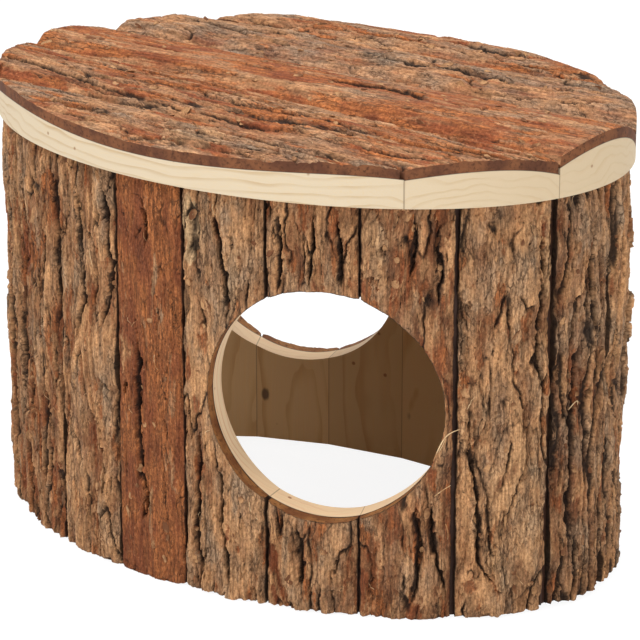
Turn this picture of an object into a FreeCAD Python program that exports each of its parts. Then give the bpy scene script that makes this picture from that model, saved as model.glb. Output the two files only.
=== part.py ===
import FreeCAD, Part
import os
import Sketcher

# Wooden hamster house, sawn from small logs that keep their bark.
# Twenty upright staves, glued edge to edge, make an oval wall that is open below.
# Five half-round slabs, glued side by side, make the oval roof, pinned to the staves' tops.
# Two round entrances face each other across the house.
# Frame: millimetres, +Z up, the origin in the middle of the oval at the height of the staves' feet.
# +X runs along the oval to the end beside the front entrance. The front faces -Y.

doc = FreeCAD.newDocument("hamster_house")
sheet = doc.addObject("Spreadsheet::Sheet", "sizes")

wall_sizes = {
    "wall_length": 190.0,        # along the oval, over the bark
    "wall_width": 124.2,         # across the oval, over the bark
    "wall_height": 117.0,        # from the feet to the underside of the roof
    "stave_thickness": 7.0,      # sawn wood only
    "bark_thickness": 3.5,       # bark on the staves
    "bark_rounding": 0.8,        # how much the bark thins towards a stave's edges
    "bark_gap": 1.2,             # open seam between the bark of two staves
    "bark_foot": 0.4,            # the bark ends this far above the feet
    "crack_width": 1.8,          # main cracks in the bark, at their widest
    "crack_depth": 1.6,
}

entrance_sizes = {
    "front_entrance_diameter": 65.0,
    "front_entrance_height": 59.3,    # of the centre above the feet
    "rear_entrance_diameter": 64.0,
    "rear_entrance_height": 58.7,
    "front_strip_before": 5.9,        # of whole wood between an entrance and the next seam but one,
    "front_strip_after": 5.4,         # clockwise of it and counter-clockwise of it
    "rear_strip_before": 2.2,
    "rear_strip_after": 9.6,
}

# Where each entrance's centre is on the oval, and the way out through it, in degrees from +X towards +Y.
entrance_angles = {
    "front_entrance_place": 294.8,
    "front_entrance_heading": -74.5,
    "rear_entrance_place": 112.7,
    "rear_entrance_heading": 105.5,
}

roof_sizes = {
    "roof_overhang_ends": 0.9,   # past the wall's bark at the oval's ends
    "roof_overhang_sides": 4.4,  # past the wall's bark at the front and the rear
    "roof_bark_thickness": 3.0,
    "roof_bark_gap": 1.2,        # open seam between the bark of two slabs
    "roof_crack_width": 2.0,     # main cracks in the roof's bark, at their widest
    "roof_crack_depth": 1.5,
    "roof_offcut": 5.0,          # what the oval saw cut takes off the slabs' ends
}

# The joint after each slab: the roof edge it is measured from, and how far in from that edge
# it lies at the oval's left end and at its right end.
roof_joints = (
    ("front", 38.4, 10.8),
    ("front", 67.8, 44.8),
    ("rear", 38.8, 46.3),
    ("rear", 17.4, 21.6),
)

# Each slab, front to rear: thickness at its crown at the oval's left end and at its right end,
# radius of its log, and how far its crown lies to the rear of the middle between its sides.
roof_slabs = (
    (8.7, 8.7, 42.0, 0.0),
    (8.8, 9.9, 55.0, -2.0),
    (9.3, 12.0, 40.0, -4.0),
    (9.1, 9.1, 42.0, 0.0),
    (9.3, 9.3, 45.0, 0.0),
)

pin_sizes = {
    "pin_length": 22.0,          # with its head
    "pin_diameter": 1.6,
    "pin_head_diameter": 3.0,
    "pin_head_height": 1.0,
    "pin_seat": 5.0,             # underside of the head above the staves' tops
    "pin_side_step": 5.0,        # of a pin that would meet a joint of the roof
}
side_stepped_pins = ("stave 9",)

# The seams between the staves, as the oval's own angle, counter-clockwise from the right end.
# A text names the strip beside an entrance that places the seam instead.
seam_places = (
    2.0, 20.0, 40.0, 58.0, 75.0,
    "rear_strip_before", 106.7, 122.8, "rear_strip_after", 160.0,
    180.0, 199.0, 220.0, 239.0, 254.9,
    "front_strip_before", 285.1, 301.9, "front_strip_after", 341.8,
)
stave_count = len(seam_places)

# The main cracks in the bark of each stave, by the points that each runs through: how far to the right
# of the stave's middle, seen from outside, and how far up, as shares of its width and its height.
wall_cracks = {
    1: (((-0.25, 0.08), (-0.20, 0.42), (-0.28, 0.70), (-0.24, 0.97)), ((0.18, 0.03), (0.12, 0.35), (0.20, 0.62))),
    2: (((-0.10, 0.30), (-0.16, 0.62), (-0.08, 0.96)), ((0.26, 0.05), (0.20, 0.40), (0.27, 0.78))),
    3: (((-0.28, 0.04), (-0.22, 0.30), (-0.30, 0.58)), ((0.08, 0.36), (0.14, 0.66), (0.06, 0.97))),
    4: (((0.02, 0.03), (0.07, 0.28), (-0.03, 0.55), (0.05, 0.90)), ((-0.30, 0.45), (-0.26, 0.80))),
    5: (((-0.24, 0.06), (-0.18, 0.40), (-0.26, 0.72)), ((0.20, 0.30), (0.15, 0.58), (0.22, 0.96))),
    6: (((-0.22, 0.04), (-0.28, 0.34), (-0.20, 0.66), (-0.26, 0.97)), ((0.10, 0.72), (0.16, 0.97))),
    7: (((-0.20, 0.03), (-0.14, 0.24)), ((0.22, 0.02), (0.26, 0.22)), ((-0.05, 0.78), (0.02, 0.98))),
    8: (((0.24, 0.03), (0.18, 0.36), (0.26, 0.64), (0.20, 0.97)), ((-0.12, 0.02), (-0.18, 0.20))),
    9: (((-0.16, 0.30), (-0.10, 0.60), (-0.18, 0.96)), ((0.18, 0.04), (0.24, 0.44), (0.16, 0.74))),
    10: (((-0.30, 0.05), (-0.24, 0.50), (-0.30, 0.92)), ((0.12, 0.20), (0.06, 0.52), (0.14, 0.88))),
    11: (((-0.05, 0.04), (0.02, 0.36), (-0.06, 0.70), (0.00, 0.97)), ((0.30, 0.30), (0.25, 0.64))),
    12: (((0.21, 0.04), (0.16, 0.30), (0.24, 0.56), (0.18, 0.92)), ((-0.20, 0.22), (-0.26, 0.60))),
    13: (((-0.34, 0.25), (-0.40, 0.48), (-0.32, 0.60), (-0.40, 0.92)),
         ((-0.16, 0.02), (-0.24, 0.30), (-0.20, 0.54), (-0.10, 0.80)), ((0.16, 0.10), (0.22, 0.40))),
    14: (((0.28, 0.58), (0.42, 0.72), (0.40, 0.80), (0.33, 0.97)),
         ((0.27, 0.03), (0.27, 0.24), (0.13, 0.43)), ((-0.08, 0.55), (0.02, 0.66), (-0.08, 0.94))),
    15: (((0.02, 0.18), (-0.12, 0.27), (-0.16, 0.44), (-0.15, 0.62)), ((0.02, 0.82), (-0.01, 0.94))),
    16: (((0.07, 0.68), (0.06, 0.80), (-0.12, 0.95)), ((0.10, 0.02), (0.01, 0.17), (-0.02, 0.34)),
         ((-0.22, 0.03), (-0.36, 0.13), (-0.30, 0.40))),
    17: (((-0.37, 0.76), (-0.31, 0.87), (-0.37, 0.97)), ((-0.05, 0.79), (0.04, 0.89), (0.06, 0.98)),
         ((0.34, 0.79), (0.28, 0.96)), ((-0.11, 0.05), (-0.09, 0.14), (-0.12, 0.22))),
    18: (((0.02, 0.82), (0.08, 0.92), (0.06, 0.98)), ((0.34, 0.75), (0.31, 0.96)),
         ((0.05, 0.03), (0.12, 0.15), (0.10, 0.29)), ((0.42, 0.05), (0.30, 0.16), (0.23, 0.30))),
    19: (((0.43, 0.50), (0.29, 0.62), (0.34, 0.74), (0.30, 0.96)),
         ((-0.05, 0.06), (-0.24, 0.14), (-0.28, 0.32), (-0.40, 0.48))),
    20: (((0.36, 0.38), (0.14, 0.58), (0.01, 0.80), (0.03, 0.95)), ((-0.22, 0.10), (-0.20, 0.45), (-0.08, 0.68)),
         ((0.26, 0.06), (0.28, 0.26))),
}

# The main cracks in the bark of each slab: how far to the right of the oval's middle, as a share of its
# length, and how far from the slab's front side to its rear side, as a share of the way.
roof_cracks = {
    1: (((-0.30, 0.55), (-0.15, 0.40), (0.00, 0.46)), ((-0.02, 0.72), (0.12, 0.62), (0.26, 0.70)),
        ((-0.12, 0.16), (0.04, 0.14), (0.14, 0.24))),
    2: (((-0.38, 0.45), (-0.29, 0.34), (-0.17, 0.40)), ((-0.08, 0.24), (0.08, 0.32), (0.22, 0.34)),
        ((-0.04, 0.72), (0.10, 0.80), (0.27, 0.66))),
    3: (((-0.40, 0.70), (-0.26, 0.62), (-0.14, 0.68)), ((0.02, 0.36), (0.12, 0.42), (0.22, 0.36)),
        ((0.20, 0.72), (0.32, 0.77))),
    4: (((-0.27, 0.52), (-0.17, 0.38), (-0.05, 0.46)), ((0.02, 0.34), (0.13, 0.50), (0.27, 0.38))),
    5: (((-0.20, 0.40), (-0.08, 0.34), (0.02, 0.44)), ((0.04, 0.62), (0.14, 0.50), (0.22, 0.56))),
}

# The stave that each entrance parts in two, and the ones beside it that it may bite into.
entrances = {
    "front": {"parted": "17", "bitten": ("15", "16", "18", "19")},
    "rear": {"parted": "07", "bitten": ("05", "06", "08", "09")},
}

row = 0


def add_cell(alias, text):
    global row
    row += 1
    sheet.set(f"A{row}", alias)
    sheet.set(f"B{row}", text)
    sheet.setAlias(f"B{row}", alias)


# Driving dimensions.
for group in (wall_sizes, entrance_sizes, entrance_angles, roof_sizes, pin_sizes):
    for alias, value in group.items():
        add_cell(alias, str(value))
for seam, place in enumerate(seam_places, 1):
    if not isinstance(place, str):
        add_cell(f"seam_angle_{seam}", str(place))
for joint, (edge, left, right) in enumerate(roof_joints, 1):
    add_cell(f"joint_inset_left_{joint}", str(left))
    add_cell(f"joint_inset_right_{joint}", str(right))
for slab, (left, right, radius, shift) in enumerate(roof_slabs, 1):
    add_cell(f"crown_height_left_{slab}", str(left))
    add_cell(f"crown_height_right_{slab}", str(right))
    add_cell(f"log_radius_{slab}", str(radius))
    add_cell(f"crown_shift_{slab}", str(shift))

# Seams on the oval of the wood's outer face: place, and heading of the mitre between two staves.
add_cell("wood_reach_x", "=wall_length / 2 - bark_thickness")
add_cell("wood_reach_y", "=wall_width / 2 - bark_thickness")
for name in entrances:
    place = f"{name}_entrance_place"
    add_cell(f"{name}_bend", f"=sqrt((wood_reach_x * sin({place})) ^ 2 + (wood_reach_y * cos({place})) ^ 2)")
for seam, place in enumerate(seam_places, 1):
    if isinstance(place, str):
        name, side = place.split("_strip_")
        sign = "-" if side == "before" else "+"
        run = f"({name}_entrance_diameter / 2 + {place})"
        add_cell(f"seam_angle_{seam}", f"={name}_entrance_place {sign} {run} / {name}_bend * 180 / pi")
for seam in range(1, stave_count + 1):
    angle = f"seam_angle_{seam}"
    add_cell(f"seam_x_{seam}", f"=wood_reach_x * cos({angle})")
    add_cell(f"seam_y_{seam}", f"=wood_reach_y * sin({angle})")
    add_cell(f"seam_heading_{seam}", f"=atan2(wood_reach_x * sin({angle}); wood_reach_y * cos({angle}))")


def next_seam(stave):
    return stave % stave_count + 1


# Each stave stands on the chord between its two seams, its own +Y pointing out of the house.
for stave in range(1, stave_count + 1):
    near = stave
    far = next_seam(stave)
    step_x = f"(seam_x_{near} - seam_x_{far})"
    step_y = f"(seam_y_{near} - seam_y_{far})"
    add_cell(f"stave_x_{stave}", f"=(seam_x_{near} + seam_x_{far}) / 2")
    add_cell(f"stave_y_{stave}", f"=(seam_y_{near} + seam_y_{far}) / 2")
    add_cell(f"stave_width_{stave}", f"=sqrt({step_x} ^ 2 + {step_y} ^ 2)")
    add_cell(f"stave_turn_{stave}", f"=atan2({step_y}; {step_x})")
    add_cell(f"slope_right_{stave}", f"=tan(stave_turn_{stave} + 90deg - seam_heading_{near})")
    add_cell(f"slope_left_{stave}", f"=tan(seam_heading_{far} - stave_turn_{stave} - 90deg)")
    slopes = f"(slope_right_{stave} + slope_left_{stave})"
    add_cell(f"bulge_{stave}", f"=stave_width_{stave} * {slopes} / 8")

# The middle of each entrance lies on the wall's outer oval.
for name in entrances:
    add_cell(f"{name}_entrance_x", f"=wall_length / 2 * cos({name}_entrance_place)")
    add_cell(f"{name}_entrance_y", f"=wall_width / 2 * sin({name}_entrance_place)")
add_cell("entrance_reach", "=wall_width / 4")

# The roof's oval overhangs the wall. Each joint is a line, by its y at both ends of the oval,
# and each slab's crown runs between its two sides.
add_cell("roof_length", "=wall_length + 2 * roof_overhang_ends")
add_cell("roof_width", "=wall_width + 2 * roof_overhang_sides")
for end in ("left", "right"):
    add_cell(f"side_{end}_0", "=-roof_width / 2")
    for joint, (edge, left, right) in enumerate(roof_joints, 1):
        from_edge = "-roof_width / 2 +" if edge == "front" else "roof_width / 2 -"
        add_cell(f"side_{end}_{joint}", f"={from_edge} joint_inset_{end}_{joint}")
    add_cell(f"side_{end}_{len(roof_slabs)}", "=roof_width / 2")
    for slab in range(1, len(roof_slabs) + 1):
        add_cell(f"crown_{end}_{slab}", f"=(side_{end}_{slab - 1} + side_{end}_{slab}) / 2 + crown_shift_{slab}")
doc.recompute()


def bind(item, **expressions):
    for name, text in expressions.items():
        item.setExpression(name.replace("__", "."), text)


# One closed outline in a sketch: its corners are pairs of expressions.
def draw_outline(sketch, corners):
    values = [[float(sketch.evalExpression(text)) for text in corner] for corner in corners]
    points = [FreeCAD.Vector(x, y, 0) for x, y in values]
    first = sketch.GeometryCount
    count = len(points)
    ahead = [(i + 1) % count for i in range(count)]
    sketch.addGeometry([Part.LineSegment(points[i], points[ahead[i]]) for i in range(count)], False)
    sketch.addConstraint([Sketcher.Constraint("Coincident", first + i, 2, first + ahead[i], 1) for i in range(count)])
    for i, corner in enumerate(corners):
        for kind, value, text in zip(("DistanceX", "DistanceY"), values[i], corner):
            number = sketch.addConstraint(Sketcher.Constraint(kind, -1, 1, first + i, 1, value))
            sketch.renameConstraint(number, f"{kind}_{first + i}")
            sketch.setExpression(f"Constraints.{kind}_{first + i}", text)


# A body with one upright prism: its corners are pairs of expressions.
def add_prism(name, corners, height, lift="0", place_x="0", place_y="0", turn="0"):
    body = doc.addObject("PartDesign::Body", name)
    bind(body, Placement__Base__x=place_x, Placement__Base__y=place_y, Placement__Base__z=lift)
    bind(body, Placement__Rotation__Angle=turn)
    sketch = body.newObject("Sketcher::SketchObject", f"{name}_outline")
    plane = [item for item in body.Origin.OriginFeatures if item.Role == "XY_Plane"][0]
    sketch.AttachmentSupport = [(plane, "")]
    sketch.MapMode = "FlatFace"
    draw_outline(sketch, corners)
    pad = body.newObject("PartDesign::Pad", f"{name}_pad")
    pad.Profile = sketch
    bind(pad, Length=height)
    return body


# Blocks over several outlines on one plane, which together cut one bark.
def add_blocks(name, outlines, placement, height):
    sketch = doc.addObject("Sketcher::SketchObject", f"{name}_outlines")
    bind(sketch, Placement=placement)
    for corners in outlines:
        draw_outline(sketch, corners)
    blocks = doc.addObject("Part::Extrusion", name)
    blocks.Base = sketch
    blocks.DirMode = "Normal"
    blocks.Solid = True
    bind(blocks, LengthFwd=height)
    return blocks


# Outline of a crack along its points: it opens to both sides and closes at both ends.
def crack_outline(points, half_step):
    (first_x, first_y), (last_x, last_y) = points[0], points[-1]
    inner = points[1:-1] or [(f"({first_x} + {last_x}) / 2", f"({first_y} + {last_y}) / 2")]
    there = [(f"{x} + {half_step[0]}", f"{y} + {half_step[1]}") for x, y in inner]
    back = [(f"{x} - {half_step[0]}", f"{y} - {half_step[1]}") for x, y in reversed(inner)]
    return [points[0]] + there + [points[-1]] + back


def add_boolean(kind, name, base, tool):
    result = doc.addObject(f"Part::{kind}", name)
    result.Base = base
    result.Tool = tool
    return result


# A rod whose base lies at x, y, z and which runs level along a heading.
def add_level_rod(name, radius, length, x, y, z, heading):
    rod = doc.addObject("Part::Cylinder", name)
    bind(rod, Radius=radius, Height=length)
    tilt = f"rotation(vector(-sin({heading}); cos({heading}); 0); 90)"
    bind(rod, Placement=f"placement(vector({x}; {y}; {z}); {tilt})")
    return rod


def add_upright_rod(name, radius, length, x, y, z):
    rod = doc.addObject("Part::Cylinder", name)
    bind(rod, Radius=radius, Height=length)
    bind(rod, Placement__Base__x=x, Placement__Base__y=y, Placement__Base__z=z)
    return rod


# Entrances: one level bore each, through the wall on its own side only.
bores = {}
for name in entrances:
    size = f"sizes.{name}_entrance"
    heading = f"{size}_heading"
    bores[name] = add_level_rod(
        f"{name}_entrance_bore", f"{size}_diameter / 2", "2 * sizes.entrance_reach",
        f"{size}_x - sizes.entrance_reach * cos({heading})",
        f"{size}_y - sizes.entrance_reach * sin({heading})",
        f"{size}_height", heading)


# Roof pins: thin brads, their heads punched below the wood's surface and covered by the bark.
pins = []
pin_bores = []
for stave in range(1, stave_count + 1):
    turn = f"sizes.stave_turn_{stave}"
    step = "sizes.pin_side_step" if f"stave {stave}" in side_stepped_pins else "0"
    pin_x = f"sizes.stave_x_{stave} - {step} * cos({turn}) + sizes.stave_thickness / 2 * sin({turn})"
    pin_y = f"sizes.stave_y_{stave} - {step} * sin({turn}) - sizes.stave_thickness / 2 * cos({turn})"
    seat = "sizes.wall_height + sizes.pin_seat"
    shank_length = "(sizes.pin_length - sizes.pin_head_height)"
    shank = add_upright_rod(f"pin_shank_{stave}", "sizes.pin_diameter / 2", shank_length,
                            pin_x, pin_y, f"{seat} - {shank_length}")
    head = add_upright_rod(f"pin_head_{stave}", "sizes.pin_head_diameter / 2",
                           "sizes.pin_head_height", pin_x, pin_y, seat)
    well = add_upright_rod(f"pin_well_{stave}", "sizes.pin_head_diameter / 2",
                           "sizes.pin_length", pin_x, pin_y, seat)
    pins.append(add_boolean("Fuse", f"pin_{stave}", shank, head))
    pin_bores.append(add_boolean("Fuse", f"pin_bore_{stave}", shank, well))


# Sawn wood of one stave, seen from above: a flat board with mitred edges.
def wood_corners(stave):
    half = f"sizes.stave_width_{stave} / 2"
    thickness = "sizes.stave_thickness"
    return (
        (f"-{half}", "0"),
        (half, "0"),
        (f"{half} - {thickness} * sizes.slope_right_{stave}", f"-{thickness}"),
        (f"-{half} + {thickness} * sizes.slope_left_{stave}", f"-{thickness}"),
    )


# Height of the bark's face above the wood, at a share of the stave's width from its middle.
def bark_face(stave, share):
    fall = (2 * share) ** 2
    crown = f"sizes.bulge_{stave} * {1 - fall:.4f}"
    return f"sizes.bark_thickness + {crown} - sizes.bark_rounding * {fall:.4f}"


# Bark of one stave, seen from above: flat on the wood and crowned outside.
def bark_corners(stave):
    width = f"sizes.stave_width_{stave}"
    right = f"sizes.slope_right_{stave}"
    left = f"sizes.slope_left_{stave}"
    edge = bark_face(stave, 0.5)
    foot_right = f"{width} / 2 - sizes.bark_gap / 2 * sqrt(1 + {right} ^ 2)"
    foot_left = f"-{width} / 2 + sizes.bark_gap / 2 * sqrt(1 + {left} ^ 2)"
    corners = [
        (foot_left, "0"),
        (foot_right, "0"),
        (f"{foot_right} + ({edge}) * {right}", edge),
    ]
    for share in (0.25, 0.0, -0.25):
        corners.append((f"{width} * ({share})", bark_face(stave, share)))
    corners.append((f"{foot_left} - ({edge}) * {left}", edge))
    return corners


# The cracks of one stave's bark, as blocks that reach outwards from the cracks' floor.
def add_wall_cracks(stave):
    turn = f"sizes.stave_turn_{stave}"
    floor = "(sizes.bark_thickness - sizes.crack_depth)"
    outlines = []
    for crack in wall_cracks[stave]:
        points = [(f"sizes.stave_width_{stave} * ({across})", f"sizes.wall_height * {up}") for across, up in crack]
        outlines.append(crack_outline(points, ("sizes.crack_width / 2", "0")))
    base = (f"vector(sizes.stave_x_{stave} - {floor} * sin({turn}); "
            f"sizes.stave_y_{stave} + {floor} * cos({turn}); 0)")
    facing = f"rotationz({turn} + 180deg) * rotationx(90)"
    return add_blocks(f"wall_cracks_{stave}", outlines, f"placement({base}; {facing})", "sizes.wall_width / 4")


# One upright piece of the wall between two heights, bored by its entrance and its pin.
def add_wall_piece(name, stave, corners, low, high, entrance, pinned, cracks=None):
    piece = add_prism(f"{name}_board", corners, f"{high} - ({low})", low,
                      f"sizes.stave_x_{stave}", f"sizes.stave_y_{stave}", f"sizes.stave_turn_{stave}")
    if cracks:
        piece = add_boolean("Cut", f"{name}_cracked", piece, cracks)
    if entrance:
        piece = add_boolean("Cut", f"{name}_bitten", piece, bores[entrance])
    if pinned:
        piece = add_boolean("Cut", f"{name}_bored", piece, pin_bores[stave - 1])
    return piece


nodes = {}
top = "sizes.wall_height"
for stave in range(1, stave_count + 1):
    number = f"{stave:02d}"
    entrance = None
    parted = False
    for name, staves in entrances.items():
        if number == staves["parted"] or number in staves["bitten"]:
            entrance = name
            parted = number == staves["parted"]
    wood = wood_corners(stave)
    bark = bark_corners(stave)
    cracks = add_wall_cracks(stave)
    foot = "sizes.bark_foot"
    if parted:
        middle = f"sizes.{entrance}_entrance_height"
        for part, low, bark_low, high in (("lower", "0", foot, middle), ("upper", middle, middle, top)):
            label = f"wall_stave_{number}_{part}"
            nodes[label] = add_wall_piece(label, stave, wood, low, high, entrance, part == "upper")
            label = f"wall_bark_{number}_{part}"
            nodes[label] = add_wall_piece(label, stave, bark, bark_low, high, entrance, False, cracks)
    else:
        label = f"wall_stave_{number}"
        nodes[label] = add_wall_piece(label, stave, wood, "0", top, entrance, True)
        label = f"wall_bark_{number}"
        nodes[label] = add_wall_piece(label, stave, bark, foot, top, entrance, False, cracks)

# The roof's oval, as an upright prism over the wall.
oval = doc.addObject("Part::Ellipse", "roof_oval")
bind(oval, MajorRadius="sizes.roof_length / 2", MinorRadius="sizes.roof_width / 2")
bind(oval, Placement__Base__z=top)
oval_block = doc.addObject("Part::Extrusion", "roof_oval_block")
oval_block.Base = oval
oval_block.DirMode = "Custom"
oval_block.Dir = FreeCAD.Vector(0, 0, 1)
oval_block.Solid = True
bind(oval_block, LengthFwd="sizes.roof_width")

all_pin_bores = doc.addObject("Part::Compound", "all_pin_bores")
all_pin_bores.Links = pin_bores


# Side line of a slab at one end of the uncut boards, past the oval by the offcut.
def side_line(side, end):
    other = "right" if end == "left" else "left"
    run = f"(sizes.side_{end}_{side} - sizes.side_{other}_{side})"
    return f"sizes.side_{end}_{side} + {run} * sizes.roof_offcut / sizes.roof_length"


# Outline of a slab before the oval saw cut, drawn in by an inset at each joint.
def slab_corners(slab, inset):
    far_x = "(sizes.roof_length / 2 + sizes.roof_offcut)"
    front_step = "- sizes.roof_offcut" if slab == 1 else f"+ {inset}"
    rear_step = "+ sizes.roof_offcut" if slab == len(roof_slabs) else f"- {inset}"
    front = {end: f"{side_line(slab - 1, end)} {front_step}" for end in ("left", "right")}
    rear = {end: f"{side_line(slab, end)} {rear_step}" for end in ("left", "right")}
    return (
        (f"-{far_x}", front["left"]),
        (far_x, front["right"]),
        (far_x, rear["right"]),
        (f"-{far_x}", rear["left"]),
    )


# A log lies along its slab's crown, and gives the slab its round top.
def add_log(name, slab, growth):
    left = f"sizes.crown_left_{slab}"
    right = f"sizes.crown_right_{slab}"
    low = f"sizes.crown_height_left_{slab}"
    high = f"sizes.crown_height_right_{slab}"
    heading = f"atan2({right} - {left}; sizes.roof_length)"
    rise = f"atan2({high} - {low}; sizes.roof_length)"
    reach = "(sizes.roof_length / 2 + 2 * sizes.roof_offcut)"
    log = doc.addObject("Part::Cylinder", name)
    bind(log, Radius=f"sizes.log_radius_{slab} + {growth}", Height=f"2 * {reach}")
    x = f"-{reach} * cos({rise}) * cos({heading})"
    y = f"({left} + {right}) / 2 - {reach} * cos({rise}) * sin({heading})"
    z = f"{top} + ({low} + {high}) / 2 - sizes.log_radius_{slab} - {reach} * sin({rise})"
    tilt = f"rotation(vector(-sin({heading}); cos({heading}); 0); 90deg - {rise})"
    bind(log, Placement=f"placement(vector({x}; {y}; {z}); {tilt})")
    return log


# Place over a slab, by a share of the oval's length and one of the way from its front side to its rear side.
def roof_point(slab, along, across):
    sides = []
    for side in (slab - 1, slab):
        left, right = f"sizes.side_left_{side}", f"sizes.side_right_{side}"
        sides.append(f"({left} + ({right} - {left}) * {0.5 + along:.2f})")
    return (f"sizes.roof_length * ({along})", f"{sides[0]} + ({sides[1]} - {sides[0]}) * {across}")


# The cracks of one slab's bark, as blocks that rise from the cracks' round floor.
def add_roof_cracks(slab):
    outlines = []
    for crack in roof_cracks[slab]:
        points = [roof_point(slab, along, across) for along, across in crack]
        outlines.append(crack_outline(points, ("0", "sizes.roof_crack_width / 2")))
    blocks = add_blocks(f"roof_crack_blocks_{slab}", outlines, f"placement(vector(0; 0; {top}); rotationz(0))",
                        "sizes.roof_width / 2")
    floor = add_log(f"roof_crack_floor_{slab}", slab, "sizes.roof_bark_thickness - sizes.roof_crack_depth")
    return add_boolean("Cut", f"roof_cracks_{slab}", blocks, floor)


for slab in range(1, len(roof_slabs) + 1):
    wood_log = add_log(f"slab_log_{slab}", slab, "0")
    bark_log = add_log(f"slab_bark_log_{slab}", slab, "sizes.roof_bark_thickness")
    blank = add_prism(f"slab_blank_{slab}", slab_corners(slab, "0"), "sizes.roof_width / 2", top)
    sawn = add_boolean("Common", f"slab_sawn_{slab}", blank, oval_block)
    round_top = add_boolean("Common", f"slab_round_{slab}", sawn, wood_log)
    nodes[f"roof_slab_{slab}"] = add_boolean("Cut", f"slab_bored_{slab}", round_top, all_pin_bores)
    bark_blank = add_prism(f"bark_blank_{slab}", slab_corners(slab, "sizes.roof_bark_gap / 2"),
                           "sizes.roof_width / 2", top)
    bark_sawn = add_boolean("Common", f"bark_sawn_{slab}", bark_blank, oval_block)
    bark_round = add_boolean("Common", f"bark_round_{slab}", bark_sawn, bark_log)
    bark_peeled = add_boolean("Cut", f"bark_peeled_{slab}", bark_round, wood_log)
    nodes[f"roof_bark_{slab}"] = add_boolean("Cut", f"bark_cracked_{slab}", bark_peeled, add_roof_cracks(slab))

roof_pins = doc.addObject("Part::Compound", "pins_together")
roof_pins.Links = pins
nodes["roof_pins"] = roof_pins

for label, item in nodes.items():
    item.Label = label
doc.recompute()

for item in doc.Objects:
    if "Invalid" in item.State or "Error" in item.State:
        raise RuntimeError(f"{item.Name} failed: {item.State}")
for label, item in nodes.items():
    if item.Shape.isNull() or not item.Shape.isValid():
        raise RuntimeError(f"{label} has no valid shape")
    if not item.Shape.Solids:
        raise RuntimeError(f"{label} has no solid")
if len(roof_pins.Shape.Solids) != stave_count:
    raise RuntimeError("the roof does not have one pin for each stave")
for name, staves in entrances.items():
    for part in ("lower", "upper"):
        label = f"wall_stave_{staves['parted']}_{part}"
        if nodes[label].Shape.Volume >= doc.getObject(f"{label}_board").Shape.Volume:
            raise RuntimeError(f"the {name} entrance did not cut {label}")

os.makedirs("parts", exist_ok=True)
for label, item in nodes.items():
    item.Shape.exportStep(os.path.join("parts", f"{label}.step"))
print(len(nodes), "nodes written")
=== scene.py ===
import math
from functools import partial

import bmesh
import bpy
import numpy as np
from mathutils import Matrix, Vector


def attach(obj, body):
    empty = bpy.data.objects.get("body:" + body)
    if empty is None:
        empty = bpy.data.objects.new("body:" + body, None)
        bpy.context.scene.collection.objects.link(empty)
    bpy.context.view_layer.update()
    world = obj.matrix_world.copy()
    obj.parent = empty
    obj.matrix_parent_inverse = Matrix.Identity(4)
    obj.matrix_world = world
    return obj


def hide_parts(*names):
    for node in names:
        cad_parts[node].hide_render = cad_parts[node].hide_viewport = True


# Wooden hamster house: an oval ring of upright staves under a flat oval roof of five slabs,
# all sawn from small logs that keep their bark.
# The sawn wood is the frame's own, and each bark is modelled here as a closed relief of plates,
# flakes and cracks. Lengths below are in millimetres, and meshes are made in metres.

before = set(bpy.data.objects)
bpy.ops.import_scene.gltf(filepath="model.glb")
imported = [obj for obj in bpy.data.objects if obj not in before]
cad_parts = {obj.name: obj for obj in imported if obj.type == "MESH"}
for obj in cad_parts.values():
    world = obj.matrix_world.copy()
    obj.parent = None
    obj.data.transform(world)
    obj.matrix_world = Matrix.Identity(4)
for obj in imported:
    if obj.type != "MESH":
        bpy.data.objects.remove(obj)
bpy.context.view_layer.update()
mm = 0.001


def addPiece(name, data):
    piece = bpy.data.objects.new(name, data)
    bpy.context.scene.collection.objects.link(piece)
    return piece


# Places shared by the wood and the bark

wall = {
    "halfLength": 95.0,      # over the bark
    "halfWidth": 62.1,
    "height": 117.0,
    "wood": 7.0,
    "bark": 3.5,
    "seam": 1.1,             # dark gap between two barks
}
entrances = {
    "front": {"radius": 32.5, "height": 59.3, "place": 294.8, "heading": -74.5},
    "rear": {"radius": 32.0, "height": 58.7, "place": 112.7, "heading": 105.5},
}
# Seams between the staves, as the oval's own angle, counter-clockwise from the right end.
seamPlaces = (2.0, 20.0, 40.0, 58.0, 75.0, 90.3, 106.7, 122.8, 140.0, 160.0,
              180.0, 199.0, 220.0, 239.0, 254.9, 269.4, 285.1, 301.9, 319.9, 341.8)
staveCount = len(seamPlaces)
cutStaves = {16: "front", 17: "front", 18: "front", 6: "rear", 7: "rear", 8: "rear"}
partedStaves = (7, 17)


# A parted stave has its upper and its lower piece in the frame.
def partNames(label, stave):
    ends = ("_lower", "_upper") if stave in partedStaves else ("",)
    return [f"{label}_{stave:02d}{end}" for end in ends]


# Dark gaps where two barks meet, by the number of the seam.
seamGaps = {14: 1.5, 15: 0.5, 16: 0.6, 17: 0.9, 18: 0.7, 19: 1.2, 20: 1.9, 1: 1.3,
            5: 0.5, 6: 0.4, 7: 0.4, 8: 0.4, 9: 0.5}

roof = {"halfLength": 95.9, "halfWidth": 66.5, "bark": 3.0, "seam": 0.25}
# Sides of the slabs, front to rear: y at the oval's left end and at its right end.
slabSides = ((-66.5, -66.5), (-28.1, -55.7), (1.3, -21.7), (27.7, 20.2), (49.1, 44.9), (66.5, 66.5))
# Each slab: thickness at its crown at the left end and at the right end, radius of its log,
# and how far its crown lies to the rear of its middle.
slabTops = ((8.7, 8.7, 42.0, 0.0), (8.8, 9.9, 55.0, -2.0), (9.3, 12.0, 40.0, -4.0),
            (9.1, 9.1, 42.0, 0.0), (9.3, 9.3, 45.0, 0.0))


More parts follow.
